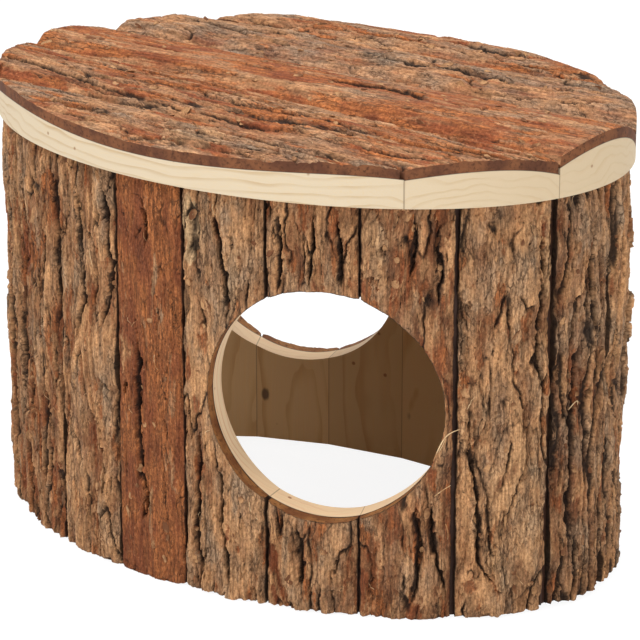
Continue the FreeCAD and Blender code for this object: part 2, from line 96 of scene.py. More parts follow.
def seamPoint(index):
    angle = math.radians(seamPlaces[index % staveCount])
    reachX, reachY = wall["halfLength"] - wall["bark"], wall["halfWidth"] - wall["bark"]
    point = np.array((reachX * math.cos(angle), reachY * math.sin(angle)))
    normal = np.array((reachY * math.cos(angle), reachX * math.sin(angle)))
    return point, normal / np.linalg.norm(normal)


# A stave seen from outside: its foot, the way across it to the right, the way out, and its width.
def staveFrame(stave):
    start, startNormal = seamPoint(stave - 1)
    end, endNormal = seamPoint(stave)
    across = (end - start) / np.linalg.norm(end - start)
    out = np.array((across[1], -across[0]))
    return {
        "middle": (start + end) / 2, "across": across, "out": out,
        "width": float(np.linalg.norm(end - start)),
        "leanLeft": float(-(startNormal @ across) / (startNormal @ out)),
        "leanRight": float((endNormal @ across) / (endNormal @ out)),
        "joints": ((start, startNormal), (end, endNormal)),
    }


def slabFrame(slab):
    (lowLeft, lowRight), (highLeft, highRight) = slabSides[slab - 1], slabSides[slab]
    crownLeft, crownRight, radius, shift = slabTops[slab - 1]
    left, right = (lowLeft + highLeft) / 2 + shift, (lowRight + highRight) / 2 + shift
    heading = math.atan2(right - left, 2 * roof["halfLength"])
    return {
        "middle": np.array((0.0, (left + right) / 2)), "heading": heading,
        "along": np.array((math.cos(heading), math.sin(heading))),
        "across": np.array((-math.sin(heading), math.cos(heading))),
        "rise": math.atan2(crownRight - crownLeft, 2 * roof["halfLength"]),
        "axis": wall["height"] + (crownLeft + crownRight) / 2 - radius, "radius": radius,
    }


# Height of a slab's sawn-log top at places along and across its crown.
def logTop(place, along, across):
    return (place["axis"] + along * math.tan(place["rise"])
            + np.sqrt(np.maximum(place["radius"] ** 2 - across ** 2, 0)) / math.cos(place["rise"]))


# Noise, on arrays of places in millimetres

def latticeRandom(ix, iy, seed):
    n = ix.astype(np.int64) * 374761393 + iy.astype(np.int64) * 668265263 + seed * 1442695041
    n = (n ^ (n >> 13)) * 1274126177 & 0xFFFFFFFF
    n = (n ^ (n >> 16)) * 2246822519 & 0xFFFFFFFF
    return ((n ^ (n >> 15)) & 0xFFFFFF) / float(0xFFFFFF)


def smoothNoise(x, y, seed):
    ix, iy = np.floor(x), np.floor(y)
    fx, fy = x - ix, y - iy
    ex, ey = (t * t * t * (t * (t * 6 - 15) + 10) for t in (fx, fy))
    corners = []
    for dx in (0, 1):
        for dy in (0, 1):
            angle = latticeRandom(ix + dx, iy + dy, seed) * 2 * math.pi
            corners.append(np.cos(angle) * (fx - dx) + np.sin(angle) * (fy - dy))
    low = corners[0] + (corners[2] - corners[0]) * ex
    high = corners[1] + (corners[3] - corners[1]) * ex
    return (low + (high - low) * ey) * 1.6      # about -1 to 1


def layeredNoise(x, y, seed, layers=3, gain=0.5):
    total, strength, reach = 0.0, 1.0, 0.0
    for layer in range(layers):
        total = total + strength * smoothNoise(x * 2 ** layer, y * 2 ** layer, seed + 17 * layer)
        reach += strength
        strength *= gain
    return total / reach ** 0.5


def smoothStep(low, high, value):
    t = np.clip((value - low) / (high - low), 0, 1)
    return t * t * (3 - 2 * t)


# Bark

# The main cracks, which the solids have too. On a stave each point is how far to the right of its middle,
# seen from outside, and how far up, as shares of its width and its height.
wallCracks = {
    1: (((-0.25, 0.08), (-0.20, 0.42), (-0.28, 0.70), (-0.24, 0.97)),
        ((0.18, 0.03), (0.12, 0.35), (0.20, 0.62))),
    2: (((-0.10, 0.30), (-0.16, 0.62), (-0.08, 0.96)), ((0.26, 0.05), (0.20, 0.40), (0.27, 0.78))),
    3: (((-0.28, 0.04), (-0.22, 0.30), (-0.30, 0.58)), ((0.08, 0.36), (0.14, 0.66), (0.06, 0.97))),
    4: (((0.02, 0.03), (0.07, 0.28), (-0.03, 0.55), (0.05, 0.90)), ((-0.30, 0.45), (-0.26, 0.80))),
    5: (((-0.24, 0.06), (-0.18, 0.40), (-0.26, 0.72)), ((0.20, 0.30), (0.15, 0.58), (0.22, 0.96))),
    6: (((-0.22, 0.04), (-0.28, 0.34), (-0.20, 0.66), (-0.26, 0.97)), ((0.10, 0.72), (0.16, 0.97))),
    7: (((-0.20, 0.03), (-0.14, 0.24)), ((0.22, 0.02), (0.26, 0.22)), ((-0.05, 0.78), (0.02, 0.98))),
    8: (((0.24, 0.03), (0.18, 0.36), (0.26, 0.64), (0.20, 0.97)), ((-0.12, 0.02), (-0.18, 0.20))),
    9: (((-0.16, 0.30), (-0.10, 0.60), (-0.18, 0.96)), ((0.18, 0.04), (0.24, 0.44), (0.16, 0.74))),
    10: (((-0.30, 0.05), (-0.24, 0.50), (-0.30, 0.92)), ((0.12, 0.20), (0.06, 0.52), (0.14, 0.88))),
    11: (((-0.05, 0.04), (0.02, 0.36), (-0.06, 0.70), (0.00, 0.97)), ((0.30, 0.30), (0.25, 0.64))),
    12: (((0.21, 0.04), (0.16, 0.30), (0.24, 0.56), (0.18, 0.92)), ((-0.20, 0.22), (-0.26, 0.60))),
    13: (((-0.34, 0.25), (-0.40, 0.48), (-0.32, 0.60), (-0.40, 0.92)),
         ((-0.16, 0.02), (-0.24, 0.30), (-0.20, 0.54), (-0.10, 0.80)), ((0.16, 0.10), (0.22, 0.40))),
    14: (((0.28, 0.58), (0.42, 0.72), (0.40, 0.80), (0.33, 0.97)),
         ((0.27, 0.03), (0.27, 0.24), (0.13, 0.43)), ((-0.08, 0.55), (0.02, 0.66), (-0.08, 0.94))),
    15: (((0.02, 0.18), (-0.12, 0.27), (-0.16, 0.44), (-0.15, 0.62)), ((0.02, 0.82), (-0.01, 0.94))),
    16: (((0.07, 0.68), (0.06, 0.80), (-0.12, 0.95)), ((0.10, 0.02), (0.01, 0.17), (-0.02, 0.34)),
         ((-0.22, 0.03), (-0.36, 0.13), (-0.30, 0.40))),
    17: (((-0.37, 0.76), (-0.31, 0.87), (-0.37, 0.97)), ((-0.05, 0.79), (0.04, 0.89), (0.06, 0.98)),
         ((0.34, 0.79), (0.28, 0.96)), ((-0.11, 0.05), (-0.09, 0.14), (-0.12, 0.22))),
    18: (((0.02, 0.82), (0.08, 0.92), (0.06, 0.98)), ((0.34, 0.75), (0.31, 0.96)),
         ((0.05, 0.03), (0.12, 0.15), (0.10, 0.29)), ((0.42, 0.05), (0.30, 0.16), (0.23, 0.30))),
    19: (((0.43, 0.50), (0.29, 0.62), (0.34, 0.74), (0.30, 0.96)),
         ((-0.05, 0.06), (-0.24, 0.14), (-0.28, 0.32), (-0.40, 0.48))),
    20: (((0.36, 0.38), (0.14, 0.58), (0.01, 0.80), (0.03, 0.95)),
         ((-0.22, 0.10), (-0.20, 0.45), (-0.08, 0.68)), ((0.26, 0.06), (0.28, 0.26))),
}
# On a slab each point is how far to the right of the oval's middle, as a share of its length,
# and how far from the slab's front side to its rear side, as a share of the way.
roofCracks = {
    1: (((-0.30, 0.55), (-0.15, 0.40), (0.00, 0.46)), ((-0.02, 0.72), (0.12, 0.62), (0.26, 0.70)),
        ((-0.12, 0.16), (0.04, 0.14), (0.14, 0.24))),
    2: (((-0.38, 0.45), (-0.29, 0.34), (-0.17, 0.40)), ((-0.08, 0.24), (0.08, 0.32), (0.22, 0.34)),
        ((-0.04, 0.72), (0.10, 0.80), (0.27, 0.66))),
    3: (((-0.40, 0.70), (-0.26, 0.62), (-0.14, 0.68)), ((0.02, 0.36), (0.12, 0.42), (0.22, 0.36)),
        ((0.20, 0.72), (0.32, 0.77))),
    4: (((-0.27, 0.52), (-0.17, 0.38), (-0.05, 0.46)), ((0.02, 0.34), (0.13, 0.50), (0.27, 0.38))),
    5: (((-0.20, 0.40), (-0.08, 0.34), (0.02, 0.44)), ((0.04, 0.62), (0.14, 0.50), (0.22, 0.56))),
}

# What every bark starts from. A stave or slab changes what differs on it.
barkStart = {
    "seed": 1,
    "plateWide": 8.0, "plateTall": 52.0,    # size of the big plates
    "plateLift": 0.7,                       # how unevenly they stand
    "wander": 1.6,                          # how far the cracks wander sideways
    "mainWide": 1.7, "mainDeep": 2.0,       # main cracks, at their widest
    "crackWide": 0.5, "crackDeep": 1.1,     # cracks between plates
    "crackShare": 0.55,                     # share of the plates' borders that gape
    "flakeWide": 5.2, "flakeTall": 23.0,    # size of the thin layers that have come off
    "flakeLayers": 3.2, "flakeStep": 1.35,
    "fibre": 0.11,
    "red": 0.35,                            # how much of the outer face has worn to inner bark
    "grey": 0.3,
    "tone": 0.5,
    "patches": (),
}

# Staves counter-clockwise from the right end, seen from outside. A patch is a plate, a hollow or a knot:
# across as a share of the width, height, half its width and height, lift, how red and pale it is, and how
# much painted shade darkens it, mostly in the sunken hollows.
staveBark = {
    1: {"seed": 11, "plateWide": 3.6, "plateTall": 55.0, "crackShare": 0.95, "crackWide": 0.7,
        "grey": 0.5, "red": 0.2, "tone": 0.42,
        "patches": ((0.30, 98, 2.2, 5.0, 1.2, 0.0, 0.1, 0.0), (0.34, 72, 2.4, 7.0, 1.5, 0.0, 0.1, 0.0))},
    2: {"seed": 12, "plateWide": 6.0},
    3: {"seed": 13, "plateWide": 9.5, "red": 0.5},
    4: {"seed": 14},
    5: {"seed": 15, "plateWide": 12.0, "grey": 0.2},
    6: {"seed": 16, "plateWide": 7.0, "red": 0.55},
    7: {"seed": 17, "grey": 0.5},
    8: {"seed": 18, "plateWide": 10.0},
    9: {"seed": 19, "plateWide": 6.0, "red": 0.6},
    10: {"seed": 20},
    11: {"seed": 21, "plateWide": 7.0, "grey": 0.5},
    12: {"seed": 22, "plateWide": 6.0, "red": 0.5, "tone": 0.4},
    13: {"seed": 23, "plateWide": 5.5, "plateTall": 50.0, "crackShare": 0.8,
         "red": 0.6, "grey": 0.12, "tone": 0.26,
         "patches": ((-0.20, 30, 2.9, 5.4, 0.8, 0.2, 0.0, 0.1), (-0.20, 30, 1.4, 2.8, -1.9, 0.0, 0.0, 1.0),
                     (-0.08, 41, 2.4, 6.5, 0.1, 0.8, 0.1, 0.0))},
    14: {"seed": 24, "plateWide": 8.0, "red": 0.4, "grey": 0.25, "tone": 0.44},
    15: {"seed": 25, "plateWide": 16.0, "crackShare": 0.25, "plateLift": 0.3,
         "flakeLayers": 2.5, "flakeStep": 0.5, "fibre": 0.15, "wander": 1.0,
         "red": 1.4, "grey": 0.0, "tone": 0.22,
         "patches": ((0.27, 78, 2.8, 15.0, 0.45, 0.1, 0.0, 0.0), (-0.33, 56, 0.8, 1.3, -1.8, 0.0, 0.0, 1.0),
                     (-0.06, 20, 0.7, 3.0, -1.8, 0.0, 0.0, 1.0))},
    16: {"seed": 26, "plateWide": 7.0, "red": 0.3, "grey": 0.4, "tone": 0.58,
         "patches": ((-0.36, 104, 2.6, 9.0, -0.1, 0.0, 0.75, 0.0), (-0.02, 104, 2.2, 5.5, 0.1, 0.8, 0.1, 0.0),
                     (-0.43, 84, 1.4, 9.0, -0.7, 0.0, 0.0, 0.55),
                     (0.10, 92, 2.4, 10.0, 0.5, -0.2, 0.1, 0.0))},
    17: {"seed": 27, "plateWide": 7.0, "red": 0.5, "grey": 0.25, "tone": 0.4},
    18: {"seed": 28, "plateWide": 7.5, "red": 0.6, "grey": 0.1, "tone": 0.17,
         "patches": ((-0.36, 105, 3.3, 9.5, 0.9, -0.2, 0.2, 0.0),)},
    19: {"seed": 29, "plateWide": 11.0, "red": 0.3, "grey": 0.25, "tone": 0.56,
         "flakeWide": 6.5, "flakeTall": 15.0,
         "patches": ((0.12, 30, 7.5, 25.0, 0.7, -0.1, 0.15, 0.0), (-0.42, 32, 2.2, 17.0, -0.9, 0.0, 0.0, 0.2),
                     (-0.33, 60, 3.2, 8.0, 0.8, -0.1, 0.15, 0.0), (0.42, 100, 2.2, 12.0, 0.3, -0.2, 0.3, 0.0),
                     (0.42, 66, 1.8, 4.0, 0.0, 0.9, 0.0, 0.0), (-0.46, 84, 1.4, 14.0, -1.2, 0.0, 0.0, 0.5))},
    20: {"seed": 30, "plateWide": 3.8, "plateTall": 60.0, "crackShare": 0.95, "crackWide": 0.7,
         "red": 0.3, "grey": 0.4, "tone": 0.18},
}
slabStart = {"mainWide": 2.8, "mainDeep": 1.9, "plateLift": 0.75, "plateTall": 90.0, "crackShare": 0.7,
             "flakeStep": 1.0, "flakeTall": 38.0}
slabBark = {
    1: {"seed": 41, "plateWide": 7.0, "plateTall": 90.0, "red": 0.6, "grey": 0.3,
        "patches": ((-4.0, 2.0, 4.5, 9.0, 0.5, -0.5, 0.3, 0.0),)},
    2: {"seed": 42, "plateWide": 5.0, "plateTall": 110.0, "red": 0.75, "grey": 0.1, "flakeTall": 46.0},
    3: {"seed": 43, "mainWide": 1.8, "mainDeep": 1.4, "plateWide": 16.0, "plateTall": 120.0,
        "crackShare": 0.2, "flakeLayers": 2.5, "flakeStep": 0.4, "flakeTall": 60.0, "plateLift": 0.25,
        "fibre": 0.1, "red": 1.0, "grey": 0.0},
    4: {"seed": 44, "plateWide": 9.0, "plateTall": 60.0, "flakeStep": 1.3, "flakeTall": 24.0,
        "red": 0.25, "grey": 0.5},
    5: {"seed": 45, "plateWide": 9.0, "plateTall": 90.0, "red": 0.65, "grey": 0.25},
}


# The main cracks at places: how deep, from 0 to 1, and how much one lip stands above the other.
def mainCrackCut(u, z, cracks, wide, seed):
    deepest, step = np.zeros(u.shape), np.zeros(u.shape)
    wobble = 0.75 + 0.6 * layeredNoise(u / 7, z / 5, seed, 3)
    for number, points in enumerate(cracks):
        starts, ends = np.array(points[:-1]), np.array(points[1:])
        lengths = np.linalg.norm(ends - starts, axis=1)
        before = np.concatenate([[0], np.cumsum(lengths)[:-1]])
        away, way, side = np.full(u.shape, 1e9), np.zeros(u.shape), np.zeros(u.shape)
        for start, end, length, run in zip(starts, ends, lengths, before):
            line = (end - start) / length
            share = np.clip((u - start[0]) * line[0] + (z - start[1]) * line[1], 0, length)
            offU, offZ = u - start[0] - share * line[0], z - start[1] - share * line[1]
            distance = np.hypot(offU, offZ)
            nearer = distance < away
            way = np.where(nearer, (run + share) / lengths.sum(), way)
            side = np.where(nearer, np.sign(offU * line[1] - offZ * line[0]), side)
            away = np.minimum(away, distance)
        taper = smoothStep(0, 0.2, way) * smoothStep(1, 0.8, way)
        half = wide / 2 * (0.15 + 0.85 * taper) * np.clip(wobble, 0.3, 1.35)
        deepest = np.maximum(deepest, np.clip(1.25 - away / half, 0, 1) ** 0.7 * (0.3 + 0.7 * taper))
        step = step + side * taper * np.exp(-away / 3.0) * (0.5 if number % 2 else -0.5)
    return deepest, step


# Relief of one bark at places across and along the grain: height above its mean face,
# and what the finish needs to know: shade of the cracks, tone, redness, paleness and greyness.
def barkRelief(u, z, spec, cracks, width):
    seed = spec["seed"] * 101
    drift = spec["wander"] * layeredNoise(u / 14, z / 38, seed + 1, 2)
    jag = layeredNoise(u / 1.8, z / 3.6, seed + 3, 3, 0.65)
    torn = layeredNoise(u / 3.5, z / 9, seed + 5, 3, 0.55)
    wu = u + 1.6 * drift

    # Fissures run where a field stretched along the grain passes through zero.
    def fissures(wide, tall, line, ragged, shift):
        field = layeredNoise((wu + ragged * (jag + 1.4 * torn)) / wide, z / tall, seed + shift, 2, 0.45)
        slopeAcross = np.gradient(field, axis=1) / np.gradient(u, axis=1)
        slopeUp = (np.gradient(field, axis=0) - slopeAcross * np.gradient(u, axis=0)) / np.gradient(z, axis=0)
        away = np.abs(field) / np.clip(np.hypot(slopeAcross, slopeUp), 0.5 / wide, 5 / wide)
        return field, np.clip(1.2 - away / line, 0, 1)

    plates, crack = fissures(spec["plateWide"], spec["plateTall"], spec["crackWide"], 0.45, 4)
    strips, hair = fissures(spec["plateWide"] * 0.42, spec["plateTall"] * 0.5, 0.3, 0.3, 6)
    gape = smoothStep(1 - spec["crackShare"] - 0.25, 1 - spec["crackShare"] + 0.25,
                      0.5 + 0.6 * layeredNoise(u / 6, z / 13, seed + 7, 3))
    crack = crack * (0.1 + 0.9 * gape)
    hair = hair * smoothStep(0.3, 0.8, 0.5 + 0.7 * layeredNoise(u / 4, z / 10, seed + 8, 2))
    main, lips = mainCrackCut(u + 0.5 * drift + 0.55 * jag + 0.9 * torn, z + 0.5 * jag, cracks,
                              spec["mainWide"], seed + 15)

    # Thin layers that have come off, with torn edges: a coarse set and a fine one.
    def layers(wide, tall, count, shift):
        level = count * np.clip(0.5 + 0.75 * layeredNoise((wu + 0.5 * jag) / wide, (z + 0.8 * jag) / tall,
                                                         seed + shift, 4, 0.5), 0, 0.999)
        part = level - np.floor(level)
        foot = np.clip(1 - part / 0.10, 0, 1) * (level > 1)
        return (np.floor(level) + smoothStep(0.0, 0.06, part) + 0.25 * (part - 0.5)) / count, foot

    flake, foot = layers(spec["flakeWide"], spec["flakeTall"], spec["flakeLayers"], 9)
    scale, scaleFoot = layers(spec["flakeWide"] * 0.5, spec["flakeTall"] * 0.42, 2.0, 21)

    fibre = layeredNoise(wu / 0.6, z / 7, seed + 12, 3, 0.7)
    grit = layeredNoise(u / 0.75, z / 0.95, seed + 11, 2, 0.8)
    lumps = layeredNoise(wu / 2.6, z / 6, seed + 13, 3, 0.6)
    height = (spec["plateLift"] * 0.5 * np.tanh(5 * plates) + 0.3 * spec["plateLift"] * np.tanh(6 * strips)
              + spec["flakeStep"] * (flake - 0.55) + 0.22 * spec["flakeStep"] * (scale - 0.5)
              + 0.07 * lumps + spec["fibre"] * fibre + 0.06 * grit + lips
              - 0.4 * hair)
    pale, dark = np.zeros(u.shape), np.zeros(u.shape)
    red = (spec["red"] + 0.9 * (0.45 - flake) + 0.5 * (0.5 - scale) + 0.15 * np.tanh(14 * strips)
           + 0.3 * layeredNoise(u / 5, z / 18, seed + 14, 3))
    for across, middle, halfWide, halfTall, lift, redder, paler, patchShade in spec["patches"]:
        reach = np.hypot((u + 0.6 * drift + 0.9 * jag + 1.6 * torn - across * width) / halfWide,
                         (z + 1.8 * jag + 5.0 * torn - middle) / halfTall)
        inside = smoothStep(1.04, 0.96, reach)
        height = height + lift * inside
        red = red + redder * inside
        pale = pale + paler * inside
        dark = np.maximum(dark, patchShade * smoothStep(1.1, 0.7, reach))
        # Painted shade in a ring round the edge of a raised plate.
        if lift > 0.3:
            dark = np.maximum(dark, 0.6 * np.clip(1 - np.abs(reach - 1.05) / 0.08, 0, 1))
    height = height - spec["crackDeep"] * crack * (1 - main) - spec["mainDeep"] * main
    pits = smoothStep(0.55, 0.95, layeredNoise(u / 1.1, z / 1.9, seed + 19, 2, 0.7))
    height = height - 0.3 * pits
    # Painted shade in the main cracks, the cracks, hair cracks, hollows and pits, and at the foot of each
    # flake's step.
    shade = np.clip(np.maximum.reduce([main, 0.85 * crack, 0.6 * hair, dark, 0.5 * pits])
                    + 0.35 * foot + 0.3 * scaleFoot, 0, 1)
    tone = np.clip(spec["tone"] + 0.14 * np.tanh(12 * plates) + 0.16 * np.tanh(14 * strips)
                   + 0.55 * (flake - 0.5) + 0.6 * (scale - 0.5)
                   + 0.25 * layeredNoise(u / 2.4, z / 9, seed + 16, 4, 0.65), 0, 1)
    grey = np.clip(spec["grey"] + 0.7 * (flake - 0.5)
                   + 0.4 * layeredNoise(u / 7, z / 16, seed + 18, 3, 0.6), 0, 1)
    return height, np.stack([shade, tone, np.clip(red, 0, 1), np.clip(pale, 0, 1), grey], -1)


# Closed mesh of one bark: a front grid (along, across), a coarser back grid, side walls and end faces.
# Faces of the side walls take the second material where sawn is true.
def closedRelief(name, front, back, looks, places, wallRings, sawn=False):
    rows, cols = front.shape[:2]
    backCols = back.shape[1]
    pick = np.round(np.linspace(0, cols - 1, backCols)).astype(int)
    coords = [front.reshape(-1, 3), back.reshape(-1, 3)]
    look = [looks.reshape(-1, 5), looks[:, pick].reshape(-1, 5)]
    place = [places.reshape(-1, 3), places[:, pick].reshape(-1, 3)]
    index = np.arange(rows * cols).reshape(rows, cols)
    backIndex = rows * cols + np.arange(rows * backCols).reshape(rows, backCols)
    total = backIndex[-1, -1] + 1
    quads = []
    for grid, order in ((index, (0, 1, 2, 3)), (backIndex, (0, 3, 2, 1))):
        corners = (grid[:-1, :-1], grid[:-1, 1:], grid[1:, 1:], grid[1:, :-1])
        quads.append(np.stack([corners[corner] for corner in order], -1).reshape(-1, 4))
    frontFaces = len(quads[0]) + len(quads[1])
    ends = {0: [], rows - 1: []}
    for side in (0, -1):
        rings = [index[:, side]]
        for ring in range(1, wallRings):
            share = ring / wallRings
            coords.append(front[:, side] * (1 - share) + back[:, side] * share)
            # Painted shade: the side walls, in the seams, darken towards the back.
            edgeLook = looks[:, side].copy()
            edgeLook[:, 0] = np.maximum(edgeLook[:, 0], 0.25 + 0.45 * share)
            look.append(edgeLook)
            edgePlace = places[:, side].copy()
            edgePlace[:, 2] -= 3.0 * share
            place.append(edgePlace)
            rings.append(np.arange(total, total + rows))
            total += rows
        rings.append(backIndex[:, side])
        for outer, inner in zip(rings[:-1], rings[1:]):
            quad = np.stack([outer[:-1], outer[1:], inner[1:], inner[:-1]], -1)
            quads.append(quad if side == 0 else quad[:, ::-1])
        for row in ends:
            ends[row].append([int(ring[row]) for ring in rings[1:-1]])
    caps = []
    for row, (leftRing, rightRing) in ends.items():
        loop = list(map(int, index[row])) + rightRing + list(map(int, backIndex[row][::-1])) + leftRing[::-1]
        caps.append(loop[::-1] if row == 0 else loop)
    coords, quads = np.concatenate(coords), np.concatenate(quads)
    corners = np.concatenate([quads.ravel()] + [np.array(cap) for cap in caps])
    starts = np.concatenate([np.arange(0, quads.size, 4), [quads.size, quads.size + len(caps[0])]])
    mesh = bpy.data.meshes.new(name)
    mesh.vertices.add(len(coords))
    mesh.vertices.foreach_set("co", (coords * mm).astype(np.float32).ravel())
    mesh.loops.add(len(corners))
    mesh.loops.foreach_set("vertex_index", corners.astype(np.int32))
    mesh.polygons.add(len(starts))
    mesh.polygons.foreach_set("loop_start", starts.astype(np.int32))
    if sawn:
        slots = np.zeros(len(starts), dtype=np.int32)
        slots[frontFaces:] = 1
        mesh.polygons.foreach_set("material_index", slots)
    mesh.update(calc_edges=True)
    look, place = np.concatenate(look), np.concatenate(place)
    mesh.shade_flat()
    for label, kind, field, values in (("barkLook", "FLOAT_COLOR", "color", look[:, :4]),
                                       ("barkPlace", "FLOAT_VECTOR", "vector", place),
                                       ("barkGrey", "FLOAT", "value", look[:, 4])):
        layer = mesh.attributes.new(label, kind, "POINT")
        layer.data.foreach_set(field, values.astype(np.float32).ravel())
    return addPiece(name, mesh)


# Sparse patches of every bark's face, for what lies loose on it: corner places and the way of the grain.
looseGround = []


def keepGround(front, grain, hole=None):
    patch = front[4:-4:3, 4:-4:3]
    clear = patch[..., 2] > 5
    if hole:
        clear = clear & (holeReach(patch, hole) > 2.0)
    looseGround.append((patch, grain, clear))


# Middle of an entrance, the way through it, and its radius.
def entranceLine(entrance):
    size = entrances[entrance]
    place, heading = math.radians(size["place"]), math.radians(size["heading"])
    centre = (wall["halfLength"] * math.cos(place), wall["halfWidth"] * math.sin(place), size["height"])
    return np.array(centre), np.array((math.cos(heading), math.sin(heading), 0)), size["radius"]


# How far points lie outside an entrance's bore.
def holeReach(points, hole):
    centre, way, radius = hole
    offset = points - centre
    return np.linalg.norm(offset - (offset @ way)[..., None] * way, axis=-1) - radius


wallGrid = {"cell": 0.29, "rows": 310}      # width of a face, and how many rows of them
roofGrid = {"cell": 0.34, "rows": 470}


def makeWallBark(stave):
    spec = {**barkStart, **staveBark[stave]}
    place = staveFrame(stave)
    width = place["width"]
    bulge = width * (place["leanLeft"] + place["leanRight"]) / 8
    cols, rows = int(width / wallGrid["cell"]), wallGrid["rows"]
    f = np.linspace(-0.5, 0.5, cols)[None, :].repeat(rows, 0)
    g = np.linspace(0, 1, rows)[:, None].repeat(cols, 1)
    seed = spec["seed"] * 977
    foot = 0.15 + 0.9 * np.clip(layeredNoise(f * width / 3.5, g * 0 + 0.5, seed + 1, 3), 0, 1)
    top = wall["height"] - 1.6 * np.clip(layeredNoise(f * width / 3.0, g * 0 + 0.5, seed + 2, 3) - 0.2, 0, 1)
    z = foot + (top - foot) * g
    # The piece's sides: a ragged edge along each seam.
    rightGap = seamGaps.get(stave % staveCount + 1, wall["seam"]) / 2
    leftGap = seamGaps.get(stave, wall["seam"]) / 2
    rightNoise = layeredNoise(g * 0 + 0.3, z / 6, seed + 3, 4, 0.65)
    leftNoise = layeredNoise(g * 0 + 0.7, z / 6, seed + 4, 4, 0.65)
    right = width / 2 - np.maximum(rightGap + 0.35 * rightNoise, 0.12)
    left = -width / 2 + np.maximum(leftGap + 0.35 * leftNoise, 0.12)
    u = (left + right) / 2 + f * (right - left)
    cracks = [[(across * width, up * wall["height"]) for across, up in crack]
              for crack in wallCracks[stave]]
    relief, look = barkRelief(u, z, spec, cracks, width)
    foot3 = np.array((*place["middle"], 0.0))
    across, out, up = np.array((*place["across"], 0)), np.array((*place["out"], 0)), np.array((0, 0, 1))
    flat = foot3 + u[..., None] * across + z[..., None] * up
    hole = entranceLine(cutStaves[stave]) if stave in cutStaves else None
    if hole:
        relief = relief * (0.3 + 0.7 * smoothStep(0.5, 4.0, holeReach(flat, hole)))
    shareAcross = np.abs(2 * f)
    nearSide = np.minimum(u - left, right - u)
    nearEnd = np.minimum(z - foot, top - z)
    fall = 0.7 * (1 - smoothStep(0, 1.3, nearSide)) + 0.3 * (1 - smoothStep(0, 0.8, nearEnd))
    mean = wall["bark"] + bulge * (1 - shareAcross ** 2) - 0.8 * shareAcross ** 2
    height = np.maximum(mean + relief - fall, 0.6)
    # Painted shade along the bark's sides, in the seams.
    look[..., 0] = np.maximum(look[..., 0], 0.75 * (1 - smoothStep(0, 0.5, nearSide)))
    lean = np.where(u > 0, place["leanRight"] * np.abs(2 * f), -place["leanLeft"] * np.abs(2 * f))
    front = flat + (lean * height)[..., None] * across + height[..., None] * out
    # Each stave has its own part of the finish's pattern.
    places = np.stack([u + stave * 40, z, height], -1)
    keepGround(front, up, hole)
    return closedRelief(f"bark_{stave:02d}", front, flat[:, [0, -1]], look, places, 3)


def roofEdge(x):
    return roof["halfWidth"] * np.sqrt(np.clip(1 - (x / roof["halfLength"]) ** 2, 0, 1))


